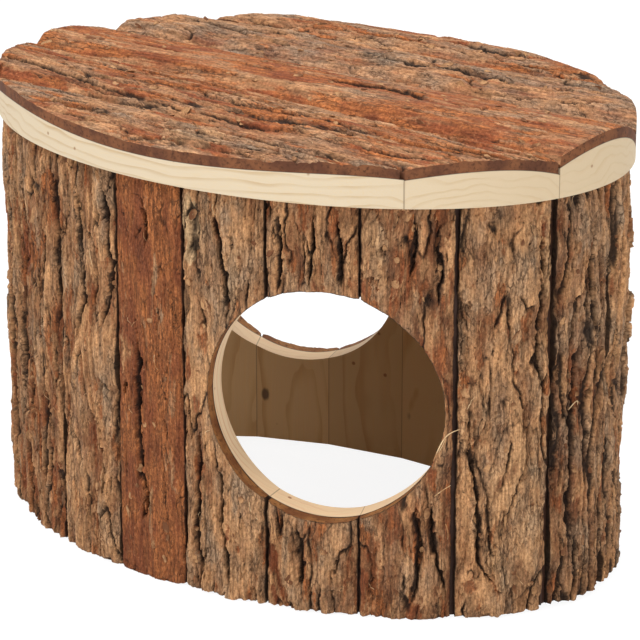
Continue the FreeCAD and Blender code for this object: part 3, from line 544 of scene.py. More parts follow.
def makeRoofBark(slab):
    spec = {**barkStart, **slabStart, **slabBark[slab]}
    place = slabFrame(slab)

    def sideLine(side, x):
        left, right = slabSides[side]
        return left + (right - left) * (x / roof["halfLength"] + 1) / 2

    def slabEdge(x, front):
        if front:
            inner = sideLine(slab - 1, x) + roof["seam"] / 2 if slab > 1 else -roofEdge(x)
            return np.maximum(-roofEdge(x), inner)
        inner = sideLine(slab, x) - roof["seam"] / 2 if slab < 5 else roofEdge(x)
        return np.minimum(roofEdge(x), inner)

    probe = roof["halfLength"] * np.sin(np.linspace(-math.pi / 2 + 0.004, math.pi / 2 - 0.004, 2001))
    ends = probe[slabEdge(probe, False) - slabEdge(probe, True) > 0.6][[0, -1]]
    phase = np.arcsin(np.clip(ends / roof["halfLength"], -1, 1))
    (lowLeft, lowRight), (highLeft, highRight) = slabSides[slab - 1], slabSides[slab]
    meanWidth = (highLeft - lowLeft + highRight - lowRight) / 2
    rows, cols = roofGrid["rows"], max(40, int(meanWidth / roofGrid["cell"]))
    x = roof["halfLength"] * np.sin(np.linspace(phase[0], phase[1], rows))[:, None].repeat(cols, 1)
    low, high = slabEdge(x, True), slabEdge(x, False)
    g = np.linspace(0, 1, cols)[None, :].repeat(rows, 0)
    # A joint's edge is ragged, the sawn rim is not.
    seed = spec["seed"] * 977
    lowJoint, highJoint = low > -roofEdge(x) + 0.01, high < roofEdge(x) - 0.01
    low = low + lowJoint * np.clip(0.45 * layeredNoise(x / 9, g * 0 + 0.3, seed + 3, 5, 0.65), 0, 0.9)
    high = high - highJoint * np.clip(0.45 * layeredNoise(x / 9, g * 0 + 0.7, seed + 4, 5, 0.65), 0, 0.9)
    high = np.maximum(high, low + 0.3)
    y = low + (high - low) * g
    offset = np.stack([x, y], -1) - place["middle"]
    along, across = offset @ place["along"], offset @ place["across"]
    cracks = []
    for crack in roofCracks[slab]:
        points = []
        for share, way in crack:
            pointX = share * 2 * roof["halfLength"]
            pointY = sideLine(slab - 1, pointX) * (1 - way) + sideLine(slab, pointX) * way
            point = np.array((pointX, pointY)) - place["middle"]
            points.append((float(point @ place["across"]), float(point @ place["along"])))
        cracks.append(points)
    relief, look = barkRelief(across, along, spec, cracks, 1.0)
    rim = 1 - np.sqrt((x / roof["halfLength"]) ** 2 + (y / roof["halfWidth"]) ** 2)
    nearRim = rim * roof["halfWidth"] * 1.1
    nearJoint = np.minimum(np.where(lowJoint, y - low, 99), np.where(highJoint, high - y, 99))
    calm = smoothStep(-0.5, 2.2, nearRim)
    fall = 0.5 * (1 - smoothStep(0, 0.9, nearJoint)) + 0.2 * (1 - smoothStep(0, 0.5, nearRim))
    # At a joint the higher bark comes down to the lower one.
    for other, joint, isJoint, away in ((slab - 1, low, lowJoint, y - low),
                                        (slab + 1, high, highJoint, high - y)):
        if 1 <= other <= 5:
            heights = []
            for log in (place, slabFrame(other)):
                reach = np.stack([x, joint], -1) - log["middle"]
                heights.append(logTop(log, reach @ log["along"], reach @ log["across"]))
            fall = fall + isJoint * np.clip(heights[0] - heights[1], 0, 2.2) * (1 - smoothStep(0, 4.0, away))
    height = np.maximum(roof["bark"] + relief * (0.3 + 0.7 * calm) - fall, 0.6)
    # Painted shade along the joints between slabs; the painted shade of the cracks is weaker near the rim.
    look[..., 0] = np.maximum(look[..., 0] * (0.4 + 0.6 * calm), 0.6 * (1 - smoothStep(0, 0.35, nearJoint)))
    pick = np.round(np.linspace(0, cols - 1, 9)).astype(int)
    log = logTop(place, along, across)
    front = np.stack([x, y, log + height], -1)
    back = np.stack([x, y, log], -1)[:, pick]
    places = np.stack([across + 900 + slab * 60, along, height], -1)
    keepGround(front, np.array((*place["along"], 0.0)))
    grids = [grid[:, ::-1] for grid in (front, back, look, places)]
    return closedRelief(f"roof_bark_cover_{slab}", *grids, 5, True)


print("bark")
barks = {stave: makeWallBark(stave) for stave in range(1, staveCount + 1)}
roofBarks = {slab: makeRoofBark(slab) for slab in range(1, 6)}


# Entrances are bored through the bark, a little unevenly. Gives back which faces the bore has left.
def boreThrough(piece, entrance):
    centre, way, radius = entranceLine(entrance)
    side = np.array((-way[1], way[0], 0))
    steps = 240
    turn = np.linspace(0, 2 * math.pi, steps, endpoint=False)
    ragged = radius + 0.10 + 0.16 * layeredNoise(np.cos(turn) * 5, np.sin(turn) * 5, 77, 4, 0.6)
    ring = np.cos(turn)[:, None] * side + np.sin(turn)[:, None] * np.array((0, 0, 1))
    ring = centre + ragged[:, None] * ring
    coords = np.concatenate([ring - 25 * way, ring + 25 * way]) * mm
    faces = [(i, (i + 1) % steps, steps + (i + 1) % steps, steps + i) for i in range(steps)]
    faces += [tuple(range(steps))[::-1], tuple(range(steps, 2 * steps))]
    mesh = bpy.data.meshes.new("bore")
    mesh.from_pydata([tuple(c) for c in coords], [], faces)
    bore = addPiece("bore", mesh)
    cut = piece.modifiers.new("bore", "BOOLEAN")
    cut.operation = "DIFFERENCE"
    cut.solver = "MANIFOLD"
    cut.object = bore
    bpy.context.view_layer.update()
    result = bpy.data.meshes.new_from_object(piece.evaluated_get(bpy.context.evaluated_depsgraph_get()))
    result.name = piece.name
    piece.modifiers.remove(cut)
    piece.data = result
    bpy.data.objects.remove(bore)
    centres = np.array([p.center for p in result.polygons]) / mm - centre
    normals = np.array([p.normal for p in result.polygons])
    flat = centres - (centres @ way)[:, None] * way
    reach = np.linalg.norm(flat, axis=1)
    inwards = np.einsum("ij,ij->i", normals, flat) / np.maximum(reach, 1e-6) < -0.8
    return (np.abs(reach - radius) < 0.8) & inwards


cutFaces = {stave: boreThrough(barks[stave], entrance) for stave, entrance in cutStaves.items()}
print("entrances bored")


# Finishes

def linear(hexColor):
    channels = [int(hexColor[i:i + 2], 16) / 255 for i in (1, 3, 5)]
    return tuple(c / 12.92 if c <= 0.04045 else ((c + 0.055) / 1.055) ** 2.4 for c in channels) + (1.0,)


nodeStart = {"Mix": {"data_type": "RGBA"}, "MapRange": {"interpolation_type": "SMOOTHSTEP"}}


# Adds a node with its settings. Inputs go by name, or in order over the sockets in use, None skipping one.
# Gives back its first output in use, or the one asked for.
def addNode(tree, kind, inputs=(), out=None, **settings):
    made = tree.nodes.new(kind if "Node" in kind else "ShaderNode" + kind)
    for key, value in {**nodeStart.get(kind, {}), **settings}.items():
        setattr(made, key, value)
    if isinstance(inputs, dict):
        pairs = [(made.inputs[name], value) for name, value in inputs.items()]
    else:
        pairs = zip([socket for socket in made.inputs if socket.enabled], inputs)
    for socket, value in pairs:
        if isinstance(value, bpy.types.NodeSocket):
            tree.links.new(value, socket)
        elif value is not None:
            socket.default_value = value
    used = [socket for socket in made.outputs if socket.enabled]
    return made.outputs[out] if out else used[0] if used else None


def newMaterial(name):
    material = bpy.data.materials.new(name)
    material.use_nodes = True
    material.node_tree.nodes.clear()
    return material, partial(addNode, material.node_tree)


# Ends a material with its colour, roughness, shine and fine relief, whose depth is in millimetres.
def finishMaterial(add, color, rough, shine, height, strength, depth):
    bump = add("Bump", {"Strength": strength, "Distance": depth * mm, "Height": height})
    shader = add("BsdfPrincipled", {"Base Color": color, "Roughness": rough,
                                    "Specular IOR Level": shine, "Normal": bump})
    add("OutputMaterial", {"Surface": shader})


# Fine patterns of the bark: size across, along and into it in millimetres, detail and roughness.
barkGrain = {
    "streak": ((0.7, 9.0, 10 / 3), 5.0, 0.65),
    "speck": ((0.55, 1.1, 2.0), 4.0, 0.7),
    "cloud": ((5.0, 16.0, 10.0), 4.0, 0.6),
    "split": ((1.1, 5.5, 5.0), 0.0, 0.0),
}
# How dark and how light streaks and specks make red, green and blue.
streakLight = ((0.58, 1.34), (0.56, 1.34), (0.54, 1.34))
speckLight = ((0.66, 1.3), (0.64, 1.31), (0.62, 1.33))


# Pine-like bark, weathered outside and red within: matt, dry, streaked along the grain.
def makeBarkMaterial(name, colors):
    material, add = newMaterial(name)
    tint = {label: linear(color) for label, color in colors.items()}
    look = add("Attribute", out="Color", attribute_name="barkLook")
    place = add("Attribute", out="Vector", attribute_name="barkPlace")
    greyness = add("Attribute", out="Fac", attribute_name="barkGrey")
    shade, tone, red = add("SeparateColor", (look,)).node.outputs
    pale = add("Math", (look.node.outputs["Alpha"], 0.85), operation="MULTIPLY")
    places = {}
    for label, grain in barkGrain.items():
        shares = tuple(1 / length for length in grain[0])
        places[label] = add("VectorMath", (place, shares), operation="MULTIPLY")
    streak, speck, cloud = (add("TexNoise", (places[label], 1.0, *barkGrain[label][1:]))
                            for label in ("streak", "speck", "cloud"))
    outer = add("Mix", (tone, tint["brown"], tint["tan"]))
    grey = add("Math", (greyness, add("MapRange", (cloud, 0.35, 0.65))), operation="MULTIPLY")
    outer = add("Mix", (grey, outer, tint["grey"]))
    under = add("Mix", (add("MapRange", (cloud, 0.38, 0.62)), tint["red"], tint["orange"]))
    uneven = add("Math", (add("Math", (streak, 0.5), operation="SUBTRACT"), 0.9), operation="MULTIPLY")
    redness = add("Math", (red, uneven), operation="ADD", use_clamp=True)
    color = add("Mix", (add("MapRange", (redness, 0.25, 0.8)), outer, under))
    color = add("Mix", (pale, color, tint["pale"]))
    for pattern, low, high, lights in ((streak, 0.3, 0.7, streakLight), (speck, 0.32, 0.68, speckLight)):
        light = add("CombineColor", [add("MapRange", (pattern, low, high, *ends)) for ends in lights])
        color = add("Mix", (1.0, color, light), blend_type="MULTIPLY")
    # Painted shade in the fine splits along the grain, light flecks and dark grains, and the painted shade of
    # the cracks, seams and hollows.
    bend = add("TexNoise", (places["speck"], 0.6, 3.0), out="Color")
    bend = add("VectorMath", (bend, 0.9), operation="SCALE")
    split = add("VectorMath", (places["split"], bend), operation="ADD")
    split = add("TexVoronoi", (split, 1.0), feature="DISTANCE_TO_EDGE")
    split = add("Math", (add("MapRange", (split, 0.09, 0.01)),
                         add("MapRange", (cloud, 0.42, 0.62, 0.0, 0.6))), operation="MULTIPLY")
    for share, over in ((split, "deep"), (add("MapRange", (speck, 0.6, 0.7, 0.0, 0.4)), "fleck"),
                        (add("MapRange", (speck, 0.4, 0.3, 0.0, 0.45)), "deep"),
                        (add("MapRange", (shade, 0.15, 0.85, 0.0, 0.93)), "crack")):
        color = add("Mix", (share, color, tint[over]))
    relief = add("Math", (streak, 0.7), operation="MULTIPLY")
    for pattern, operation in ((speck, "ADD"), (split, "SUBTRACT")):
        relief = add("Math", (relief, add("Math", (pattern, 0.5), operation="MULTIPLY")), operation=operation)
    finishMaterial(add, color, 0.88, 0.25, relief, 1.0, 0.7)
    return material


# Sawn edge of the bark: inner bark, red brown and even, in thin layers.
def makeCutBarkMaterial(name, dark, light, line):
    material, add = newMaterial(name)
    place = add("TexCoord", out="Object")
    fine = add("TexNoise", (place, 900.0, 4.0, 0.65))
    broad = add("TexNoise", (place, 160.0, 3.0))
    color = add("Mix", (add("MapRange", (broad, 0.35, 0.65)), linear(dark), linear(light)))
    color = add("Mix", (add("MapRange", (fine, 0.45, 0.75)), color, linear(line)))
    finishMaterial(add, color, 0.8, 0.25, fine, 0.6, 0.3)
    return material


# Dry scraps of bark and bast: each differs in tone, with fine streaks.
def makeScrapMaterial(name, dark, light):
    material, add = newMaterial(name)
    place = add("TexCoord", out="Object")
    broad = add("TexNoise", (place, 260.0, 2.0))
    fine = add("TexNoise", (place, 1800.0, 3.0))
    color = add("Mix", (add("MapRange", (broad, 0.38, 0.62)), linear(dark), linear(light)))
    color = add("Mix", (add("MapRange", (fine, 0.4, 0.7, 0.0, 0.4)), color, linear(dark)))
    finishMaterial(add, color, 0.85, 0.25, fine, 0.5, 0.2)
    return material


# Sawn pine or fir sapwood, unfinished: pale cream, thin brown latewood lines, soft sheen.
woodLook = {
    "early": "#D1C0A5", "late": "#B8986E", "fibre": "#D8BC8C", "endGrain": "#CFB896",
    # Painted shade: the dark brown of the wood's face beside the bark, which shows only in the gaps between
    # barks.
    "speck": "#8A5A34", "joint": "#5A4028", "knot": "#3A2416", "seamShade": "#3A2216",
    "inside": "#FFE8C8",             # painted shade: multiplies the colour of the faces towards the chamber, making them darker and browner
    "bored": (1.5, 1.42, 1.38, 1.0),    # painted light: this multiplies the colour of the walls of the entrances, brightening them
    "ring": 2.6,                     # between two latewood lines
    "wobble": 14.0,                  # how far the rings wander
}


# The grain runs along the stave or slab, with its rings round the origin. barkTest gives the shares of
# painted shade beside the bark, which shows in the seams, of painted shade on a face towards the chamber and
# of painted light on a bored wall.
def makeWoodMaterial(name, origin, turn, tilt, joints, barkTest, seed, tone=1.0):
    material, add = newMaterial(name)
    tint = {label: linear(color) for label, color in woodLook.items() if isinstance(color, str)}
    normal = add("TexCoord", out="Normal")
    scaled = add("VectorMath", (normal.node.outputs["Object"], 1 / mm), operation="SCALE")
    local = add("Mapping", {"Vector": scaled, "Location": origin, "Rotation": (0.0, tilt, turn)},
                vector_type="TEXTURE")
    grainWay = Matrix.Rotation(turn, 3, "Z") @ Matrix.Rotation(tilt, 3, "Y") @ Vector((0, 0, 1))
    wobble = add("VectorMath", (local, (0.05, 0.05, 0.012)), operation="MULTIPLY")
    wobble = add("VectorMath", (wobble, (seed * 1.7, seed * 0.9, seed * 2.3)), operation="ADD")
    wobble = add("TexNoise", (wobble, 1.0, 3.0), out="Color")
    wobble = add("VectorMath", (wobble, (0.5, 0.5, 0.5)), operation="SUBTRACT")
    wobble = add("VectorMath", (wobble, woodLook["wobble"]), operation="SCALE")
    bent = add("VectorMath", (local, wobble), operation="ADD")
    flat = add("VectorMath", (bent, (1.0, 1.0, 0.0)), operation="MULTIPLY")
    radius = add("VectorMath", (flat,), operation="LENGTH")
    phase = add("Math", (add("Math", (radius, woodLook["ring"]), operation="DIVIDE"),), operation="FRACT")
    late = add("Math", (add("MapRange", (phase, 0.55, 0.93)), add("MapRange", (phase, 1.0, 0.95))),
               operation="MULTIPLY")
    places = [add("VectorMath", (local, (1 / across, 1 / across, 1 / along)), operation="MULTIPLY")
              for across, along in ((0.35, 14.0), (9.0, 40.0), (24.0, 40.0))]
    fibre, cloud = (add("TexNoise", (place, 1.0, 3.0)) for place in places[:2])
    strength = add("Math", (late, add("MapRange", (cloud, 0.3, 0.7, 0.15, 0.75))), operation="MULTIPLY")
    along = add("VectorMath", (normal, tuple(grainWay)), operation="DOT_PRODUCT")
    endGrain = add("Math", (along,), operation="ABSOLUTE")
    specks = add("TexVoronoi", (scaled, 0.11), feature="F1")
    gap = None
    for point, normalAt in joints:
        way = (-normalAt[1], normalAt[0], 0.0)
        away = add("VectorMath", (scaled, way), operation="DOT_PRODUCT")
        away = add("Math", (away, float(way[0] * point[0] + way[1] * point[1])), operation="SUBTRACT")
        away = add("Math", (away,), operation="ABSOLUTE")
        gap = away if gap is None else add("Math", (gap, away), operation="MINIMUM")
    knots = add("TexVoronoi", (places[2], 1.0), feature="F1")
    knots = add("Math", (knots, add("Math", (fibre, 0.02), operation="MULTIPLY")), operation="ADD")
    color = add("Mix", (strength, tint["early"], tint["late"]))
    for share, over in ((add("MapRange", (fibre, 0.45, 0.8, 0.0, 0.35)), "fibre"),
                        (add("MapRange", (endGrain, 0.35, 0.95, 0.0, 0.75)), "endGrain"),
                        (add("MapRange", (specks, 0.085, 0.04, 0.0, 0.8)), "speck"),
                        (add("MapRange", (gap, 0.22, 0.05, 0.0, 0.5)), "joint"),
                        (add("MapRange", (knots, 0.075, 0.045, 0.0, 0.85)), "knot")):
        color = add("Mix", (share, color, tint[over]))
    # Painted shade in the seams beside the bark and on the faces towards the chamber, and painted light on
    # the bored walls.
    seamShade, inside, bore = barkTest(add, scaled, normal)
    for share, over in ((inside, tint["inside"]), (1.0, (tone, tone * 0.99, tone * 0.97, 1.0)),
                        (bore, woodLook["bored"])):
        color = add("Mix", (share, color, over), blend_type="MULTIPLY")
    color = add("Mix", (seamShade, color, tint["seamShade"]))
    finishMaterial(add, color, 0.62, 0.35, add("Math", (fibre, late), operation="ADD"), 0.35, 0.2)
    return material


def staveMaterial(stave):
    place = staveFrame(stave)
    rng = np.random.default_rng(stave + 300)
    pith = place["middle"] - place["out"] * rng.uniform(24, 34) + place["across"] * rng.uniform(-7, 7)

    # Masks for the painted shade beside the bark, which shows in the seams, for the painted shade on the
    # faces towards the chamber, and for the painted light on faces that point neither in nor out, such as the
    # entrance bores.
    def barkSide(add, scaled, normal):
        way = (place["out"][0], place["out"][1], 0.0)
        away = add("VectorMath", (scaled, way), operation="DOT_PRODUCT")
        away = add("Math", (float(place["out"] @ place["middle"]), away), operation="SUBTRACT")
        facing = add("VectorMath", (normal, way), operation="DOT_PRODUCT")
        bore = add("MapRange", (add("Math", (facing,), operation="ABSOLUTE"), 0.9, 0.75))
        return add("MapRange", (away, 0.45, 0.05)), add("MapRange", (facing, -0.7, -0.95)), bore

    turn = math.atan2(place["across"][1], place["across"][0])
    return makeWoodMaterial(f"sawn pine stave {stave:02d}", (pith[0], pith[1], 0.0), turn, 0.0,
                            place["joints"], barkSide, stave, rng.uniform(0.86, 1.08))


def slabMaterial(slab):
    place = slabFrame(slab)
    middleX, middleY = map(float, place["middle"])
    pithHeight = wall["height"] + slabTops[slab - 1][0] - min(33.0, place["radius"])
    joints = []
    for side in (slab - 1, slab):
        if 0 < side < 5:
            left, right = slabSides[side]
            way = np.array((2 * roof["halfLength"], right - left))
            joints.append((np.array((0.0, (left + right) / 2)), way / np.linalg.norm(way)))

    # Masks for the painted shade beside the bark, which shows in the seams, and for the painted shade on the
    # faces that look down into the chamber; a slab gets no painted light.
    def barkSide(add, scaled, normal):
        offset = add("VectorMath", (scaled, (middleX, middleY, place["axis"])), operation="SUBTRACT")
        ways = [(float(place[label][0]), float(place[label][1]), 0.0) for label in ("across", "along")]
        across, along = (add("VectorMath", (offset, way), operation="DOT_PRODUCT") for way in ways)
        height = add("SeparateXYZ", (offset,), out="Z")
        rise = add("Math", (along, math.tan(place["rise"])), operation="MULTIPLY")
        height = add("Math", (height, rise), operation="SUBTRACT")
        squares = [add("Math", (reach, reach), operation="MULTIPLY") for reach in (across, height)]
        radius = add("Math", (add("Math", squares, operation="ADD"),), operation="SQRT")
        away = add("Math", (float(place["radius"]), radius), operation="SUBTRACT")
        down = add("SeparateXYZ", (normal,), out="Z")
        return add("MapRange", (away, 0.3, 0.03)), add("MapRange", (down, -0.7, -0.95)), 0.0

    return makeWoodMaterial(f"sawn pine slab {slab}", (middleX, middleY, pithHeight), place["heading"],
                            math.pi / 2, joints, barkSide, slab + 40)


# Steel wire of the pins: drawn and plain, bright and smooth.
def makePinMaterial():
    material, add = newMaterial("drawn steel wire")
    grain = add("TexNoise", (add("TexCoord", out="Object"), 1500.0, 2.0))
    color = add("Mix", (grain, linear("#8E8E90"), linear("#B4B4B6")))
    shader = add("BsdfPrincipled", {"Base Color": color, "Metallic": 1.0,
                                    "Roughness": add("MapRange", (grain, 0.3, 0.7, 0.28, 0.45))})
    add("OutputMaterial", {"Surface": shader})
    return material


# A piece without materials keeps its faces' numbers, so only a filled list is cleared.
def setMaterials(piece, *materials):
    if piece.data.materials:
        piece.data.materials.clear()
    for material in materials:
        piece.data.materials.append(material)


wallBarkMaterial = makeBarkMaterial("pine bark on the staves", {
    "brown": "#73482D", "tan": "#BC8C60", "grey": "#9C8268", "red": "#774227", "orange": "#A06238",
    "pale": "#CDAE84", "fleck": "#C29C74", "deep": "#3A2418", "crack": "#1C100A"})
roofBarkMaterial = makeBarkMaterial("pine bark on the slabs", {
    "brown": "#7E4D35", "tan": "#B4845C", "grey": "#94806C", "red": "#84482B", "orange": "#AE6A3C",
    "pale": "#C9A67C", "fleck": "#C49468", "deep": "#44271A", "crack": "#1E110A"})
sawnBarkMaterial = makeCutBarkMaterial("sawn bark edge", "#5C3724", "#7E4F31", "#452818")
boredBarkMaterial = makeCutBarkMaterial("bored bark edge", "#80502F", "#A87444", "#5E3820")

for stave, bark in barks.items():
    setMaterials(bark, wallBarkMaterial, boredBarkMaterial)
    if stave in cutFaces:
        bark.data.polygons.foreach_set("material_index", cutFaces[stave].astype(np.int32))
for bark in roofBarks.values():
    setMaterials(bark, roofBarkMaterial, sawnBarkMaterial)
for stave in range(1, staveCount + 1):
    material = staveMaterial(stave)
    for label in partNames("wall_stave", stave):
        setMaterials(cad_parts[label], material)
for slab in range(1, 6):
    setMaterials(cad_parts[f"roof_slab_{slab}"], slabMaterial(slab))
setMaterials(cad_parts["roof_pins"], makePinMaterial())
print("finishes")

# Loose flakes and torn fibres lie scattered on the bark, along its grain. Densities are for a square metre.
loose = {
    "flakes": {"Density": 9000.0, "Size": 1.1 * mm, "Thickness": 0.28 * mm, "Seed": 5},
    "fibres": {"Density": 1600.0, "Length": 3.2 * mm, "Seed": 8},
    "uneven": 1.2 * mm,      # how far their points are moved about
}


def groundMesh():
    coords, grains, faces = [], [], []
    for patch, grain, clear in looseGround:
        rows, cols = patch.shape[:2]
        first = len(coords)
        coords.extend(map(tuple, patch.reshape(-1, 3) * mm))
        grains.extend([tuple(grain)] * (rows * cols))
        clear = clear[:-1, :-1] & clear[1:, :-1] & clear[:-1, 1:] & clear[1:, 1:]
        for row, col in np.argwhere(clear):
            corner = first + int(row) * cols + int(col)
            faces.append((corner, corner + 1, corner + cols + 1, corner + cols))
    mesh = bpy.data.meshes.new("loose ground")
    mesh.from_pydata(coords, [], faces)
    layer = mesh.attributes.new("grain", "FLOAT_VECTOR", "POINT")
    layer.data.foreach_set("vector", np.array(grains, dtype=np.float32).ravel())
    return mesh


# The plain mesh that is left of an object with its modifiers or of a curve.
def finishedMesh(piece):
    bpy.context.view_layer.update()
    return bpy.data.meshes.new_from_object(piece.evaluated_get(bpy.context.evaluated_depsgraph_get()))


# Scatters one small shape over the ground, turned along the grain.
def scatter(name, makeShape, material, inputs):
    tree = bpy.data.node_groups.new(name, "GeometryNodeTree")
    add = partial(addNode, tree)
    for way in ("OUTPUT", "INPUT"):
        tree.interface.new_socket("Geometry", in_out=way, socket_type="NodeSocketGeometry")
    identifiers = {}
    for label in inputs:
        kind = "NodeSocketInt" if label == "Seed" else "NodeSocketFloat"
        identifiers[label] = tree.interface.new_socket(label, in_out="INPUT", socket_type=kind).identifier
    given = add("NodeGroupInput").node.outputs
    points = add("GeometryNodeDistributePointsOnFaces", {
        "Mesh": given["Geometry"], "Density": given["Density"], "Seed": given["Seed"]},
        distribute_method="RANDOM")
    grain = add("GeometryNodeInputNamedAttribute", {"Name": "grain"}, data_type="FLOAT_VECTOR")
    turn = add("FunctionNodeAlignRotationToVector", {"Vector": points.node.outputs["Normal"]}, axis="Z")
    turn = add("FunctionNodeAlignRotationToVector", {"Rotation": turn, "Vector": grain},
               axis="X", pivot_axis="Z")
    lean = add("FunctionNodeRandomValue", ((-0.25, -0.25, -0.6), (0.25, 0.25, 0.6), None, given["Seed"]),
               data_type="FLOAT_VECTOR")
    turn = add("FunctionNodeRotateRotation", {"Rotation": turn, "Rotate By": lean}, rotation_space="LOCAL")
    shape, size = makeShape(add, given)
    placed = add("GeometryNodeInstanceOnPoints",
                 {"Points": points, "Instance": shape, "Rotation": turn, "Scale": size})
    placed = add("GeometryNodeRealizeInstances", {"Geometry": placed})
    uneven = add("TexNoise", (add("GeometryNodeInputPosition"), 700.0, 1.0), out="Color")
    uneven = add("VectorMath", (uneven, (0.5, 0.5, 0.5)), operation="SUBTRACT")
    uneven = add("VectorMath", (uneven, loose["uneven"]), operation="SCALE")
    placed = add("GeometryNodeSetPosition", {"Geometry": placed, "Offset": uneven})
    placed = add("GeometryNodeSetMaterial", {"Geometry": placed, "Material": material})
    add("NodeGroupOutput", {"Geometry": placed})
    piece = addPiece(name, ground.copy())
    nodes = piece.modifiers.new("scatter", "NODES")
    nodes.node_group = tree
    for label, value in inputs.items():
        nodes[identifiers[label]] = value
    mesh = finishedMesh(piece)
    piece.modifiers.remove(nodes)
    piece.data = mesh
    return piece


def flakeShape(add, given):
    disc = add("GeometryNodeMeshCylinder", {"Vertices": 7, "Radius": 1.0, "Depth": 1.0})
    spread = add("FunctionNodeRandomValue", ((0.5, 0.3, 0.7), (1.9, 1.0, 1.2), None, given["Seed"]),
                 data_type="FLOAT_VECTOR")
    sizes = add("CombineXYZ", (given["Size"], given["Size"], given["Thickness"]))
    return disc, add("VectorMath", (spread, sizes), operation="MULTIPLY")


def fibreShape(add, given):
    bow = add("GeometryNodeCurveQuadraticBezier", {
        "Resolution": 6, "Start": (-0.5, 0.0, 0.0), "Middle": (0.1, 0.12, 0.28), "End": (0.5, -0.1, 0.10)})
    section = add("GeometryNodeCurvePrimitiveCircle", {"Resolution": 4, "Radius": 0.018})
    tube = add("GeometryNodeCurveToMesh", {"Curve": bow, "Profile Curve": section, "Fill Caps": True})
    reach = add("FunctionNodeRandomValue", (0.4, 1.7, None, given["Seed"]), data_type="FLOAT")
    return tube, add("Math", (reach, given["Length"]), operation="MULTIPLY")


# Long splinters at the entrance and on the wall: stave, points across it, up it and off its wood, thickness.
splinters = (
    (18, ((7.2, 46.0, 3.6), (9.0, 51.5, 4.6), (11.4, 55.0, 5.4), (14.2, 55.6, 4.7)), 0.18),
    (18, ((8.0, 47.5, 3.7), (9.2, 50.0, 4.7), (10.4, 52.8, 4.4)), 0.13),
    (18, ((7.6, 36.0, 3.8), (10.0, 38.5, 4.8), (11.8, 39.3, 4.0)), 0.17),
    (18, ((10.6, 28.0, 3.6), (11.6, 26.0, 4.7), (11.2, 23.6, 3.8)), 0.13),
    (20, ((-5.2, 56.0, 3.4), (-4.2, 58.6, 4.8), (-2.8, 58.4, 4.9), (-2.4, 56.2, 3.8)), 0.14),
    (14, ((3.0, 92.0, 4.0), (4.2, 89.0, 5.0), (4.4, 86.0, 4.0)), 0.12),
)
splinterTip = 0.35      # share of the thickness that is left at its end


def makeSplinters():
    data = bpy.data.curves.new("splinters", "CURVE")
    data.dimensions = "3D"
    data.bevel_depth = mm
    data.bevel_resolution = 1
    data.use_fill_caps = True
    for stave, points, thickness in splinters:
        place = staveFrame(stave)
        line = data.splines.new("NURBS")
        line.points.add(len(points) - 1)
        line.order_u = 3
        line.use_endpoint_u = True
        line.resolution_u = 6
        for point, (across, up, out) in zip(line.points, points):
            flat = place["middle"] + across * place["across"] + out * place["out"]
            point.co = (flat[0] * mm, flat[1] * mm, up * mm, 1.0)
            point.radius = thickness
        line.points[-1].radius = thickness * splinterTip
    path = addPiece("splinters", data)
    mesh = finishedMesh(path)
    bpy.data.objects.remove(path)
    # The curve's end caps come loose, so they are joined to its tube.
    work = bmesh.new()
    work.from_mesh(mesh)
    bmesh.ops.remove_doubles(work, verts=work.verts, dist=0.001 * mm)
    work.to_mesh(mesh)
    work.free()
    return addPiece("splinters", mesh)


ground = groundMesh()
flakeMaterial = makeScrapMaterial("loose bark scraps", "#6A4229", "#B5895F")
fibreMaterial = makeScrapMaterial("torn bast fibres", "#A97B50", "#DDBF94")
looseFlakes = scatter("loose_flakes", flakeShape, flakeMaterial, loose["flakes"])
tornFibres = scatter("torn_fibres", fibreShape, fibreMaterial, loose["fibres"])
splinterPiece = makeSplinters()
setMaterials(splinterPiece, fibreMaterial)
for scrap in (looseFlakes, tornFibres, splinterPiece):
    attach(scrap, "root")
print("scraps", len(looseFlakes.data.polygons), len(tornFibres.data.polygons))

# Pieces ride on the one body and stand for their plain solids
for stave, bark in barks.items():
    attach(bark, "root")
    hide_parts(*partNames("wall_bark", stave))
for slab, bark in roofBarks.items():
    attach(bark, "root")
    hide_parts(f"roof_bark_{slab}")


# Stage

view = {
    "right": 32.76, "up": 19.60,        # degrees round from the front, and above the floor
    "distance": 976.1, "lens": 193.62, "sensor": 36.0,
    "target": (0.0, 0.0, 57.0), "aside": 2.98, "above": 2.52,
}


def addCamera():
    turn, rise = math.radians(view["right"]), math.radians(view["up"])
    back = Vector((math.sin(turn) * math.cos(rise), -math.cos(turn) * math.cos(rise), math.sin(rise)))
    right = Vector((math.cos(turn), math.sin(turn), 0))
    up = back.cross(right)
    place = Vector(view["target"]) + right * view["aside"] + up * view["above"] + back * view["distance"]
    data = bpy.data.cameras.new("camera")
    data.lens = view["lens"]
    data.sensor_width = view["sensor"]
    data.sensor_fit = "HORIZONTAL"
    data.clip_start = 0.05
    data.clip_end = 20
    camera = addPiece("camera", data)
    camera.matrix_world = Matrix.Translation(place * mm) @ Matrix((right, up, back)).transposed().to_4x4()
    bpy.context.scene.camera = camera


lamps = {
    # place in metres, size, watts
    "key": ((-0.5, -0.9, 1.2), 0.6, 13.0),
    "fill": ((1.1, -0.8, 0.4), 0.9, 7.0),
    "back": ((0.2, 1.1, 1.0), 0.8, 5.0),
    "top": ((-0.1, 0.1, 1.5), 0.8, 11.5),
}
lampAim = (0, 0, 0.06)


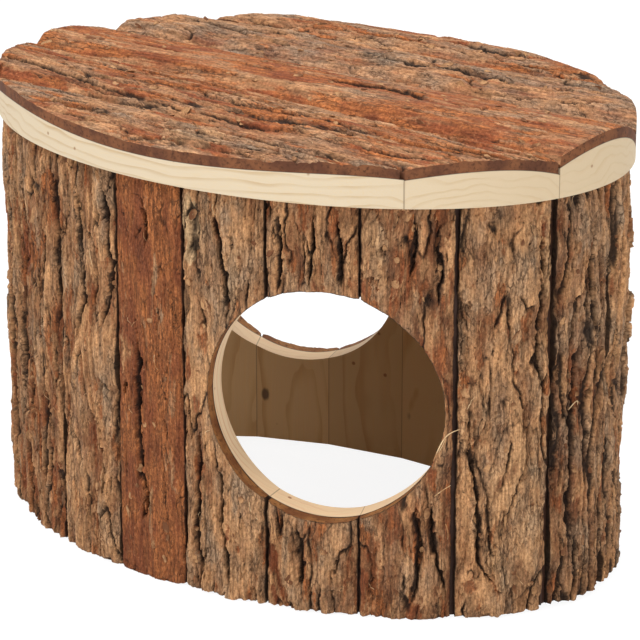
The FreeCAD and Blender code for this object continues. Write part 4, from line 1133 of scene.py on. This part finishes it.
def addLamps():
    for name, (place, size, watts) in lamps.items():
        data = bpy.data.lights.new(name, "AREA")
        data.shape = "DISK"
        data.size = size
        data.energy = watts
        lamp = addPiece(name, data)
        lamp.location = place
        lamp.rotation_euler = (Vector(lampAim) - Vector(place)).to_track_quat("-Z", "Y").to_euler()


stage = {
    "reach": 4.0,               # half the floor's side in metres
    "paper": (0.80, 0.83),      # how pale its grains are
    "glow": 1.12, "shown": 0.8,     # the white that is seen, and its share, which leaves the shadow
    "world": 0.42,              # light from all round
}


# 1 where a ray comes from the camera, or through glass or a mirror, and else 0.
def seenRay(add):
    path = add("LightPath").node.outputs
    seen = path["Is Camera Ray"]
    for label in ("Is Glossy Ray", "Is Transmission Ray"):
        seen = add("Math", (seen, path[label]), operation="MAXIMUM")
    return seen


# White paper floor and white world: both show as plain white, and the floor keeps a soft shadow.
def addStage():
    mesh = bpy.data.meshes.new("floor")
    corners = [(x * stage["reach"], y * stage["reach"], 0) for x, y in ((-1, -1), (1, -1), (1, 1), (-1, 1))]
    mesh.from_pydata(corners, [], [(0, 1, 2, 3)])
    floor = addPiece("floor", mesh)
    material, add = newMaterial("white paper")
    grain = add("TexNoise", (add("TexCoord", out="Object"), 60.0))
    color = add("Mix", (grain, *((level, level, level, 1) for level in stage["paper"])))
    glow = add("Emission", {"Color": (1, 1, 1, 1), "Strength": stage["glow"]})
    share = add("Math", (seenRay(add), stage["shown"]), operation="MULTIPLY")
    add("OutputMaterial", {"Surface": add("MixShader", (share, add("BsdfDiffuse", {"Color": color}), glow))})
    mesh.materials.append(material)
    world = bpy.data.worlds.new("studio")
    world.use_nodes = True
    world.node_tree.nodes.clear()
    add = partial(addNode, world.node_tree)
    strength = add("Math", (seenRay(add), 1 - stage["world"]), operation="MULTIPLY")
    strength = add("Math", (stage["world"], strength), operation="ADD")
    add("OutputWorld", {"Surface": add("Background", {"Color": (1, 1, 1, 1), "Strength": strength})})
    bpy.context.scene.world = world


addCamera()
addLamps()
addStage()
bpy.context.scene.view_settings.view_transform = "Standard"
print("stage")
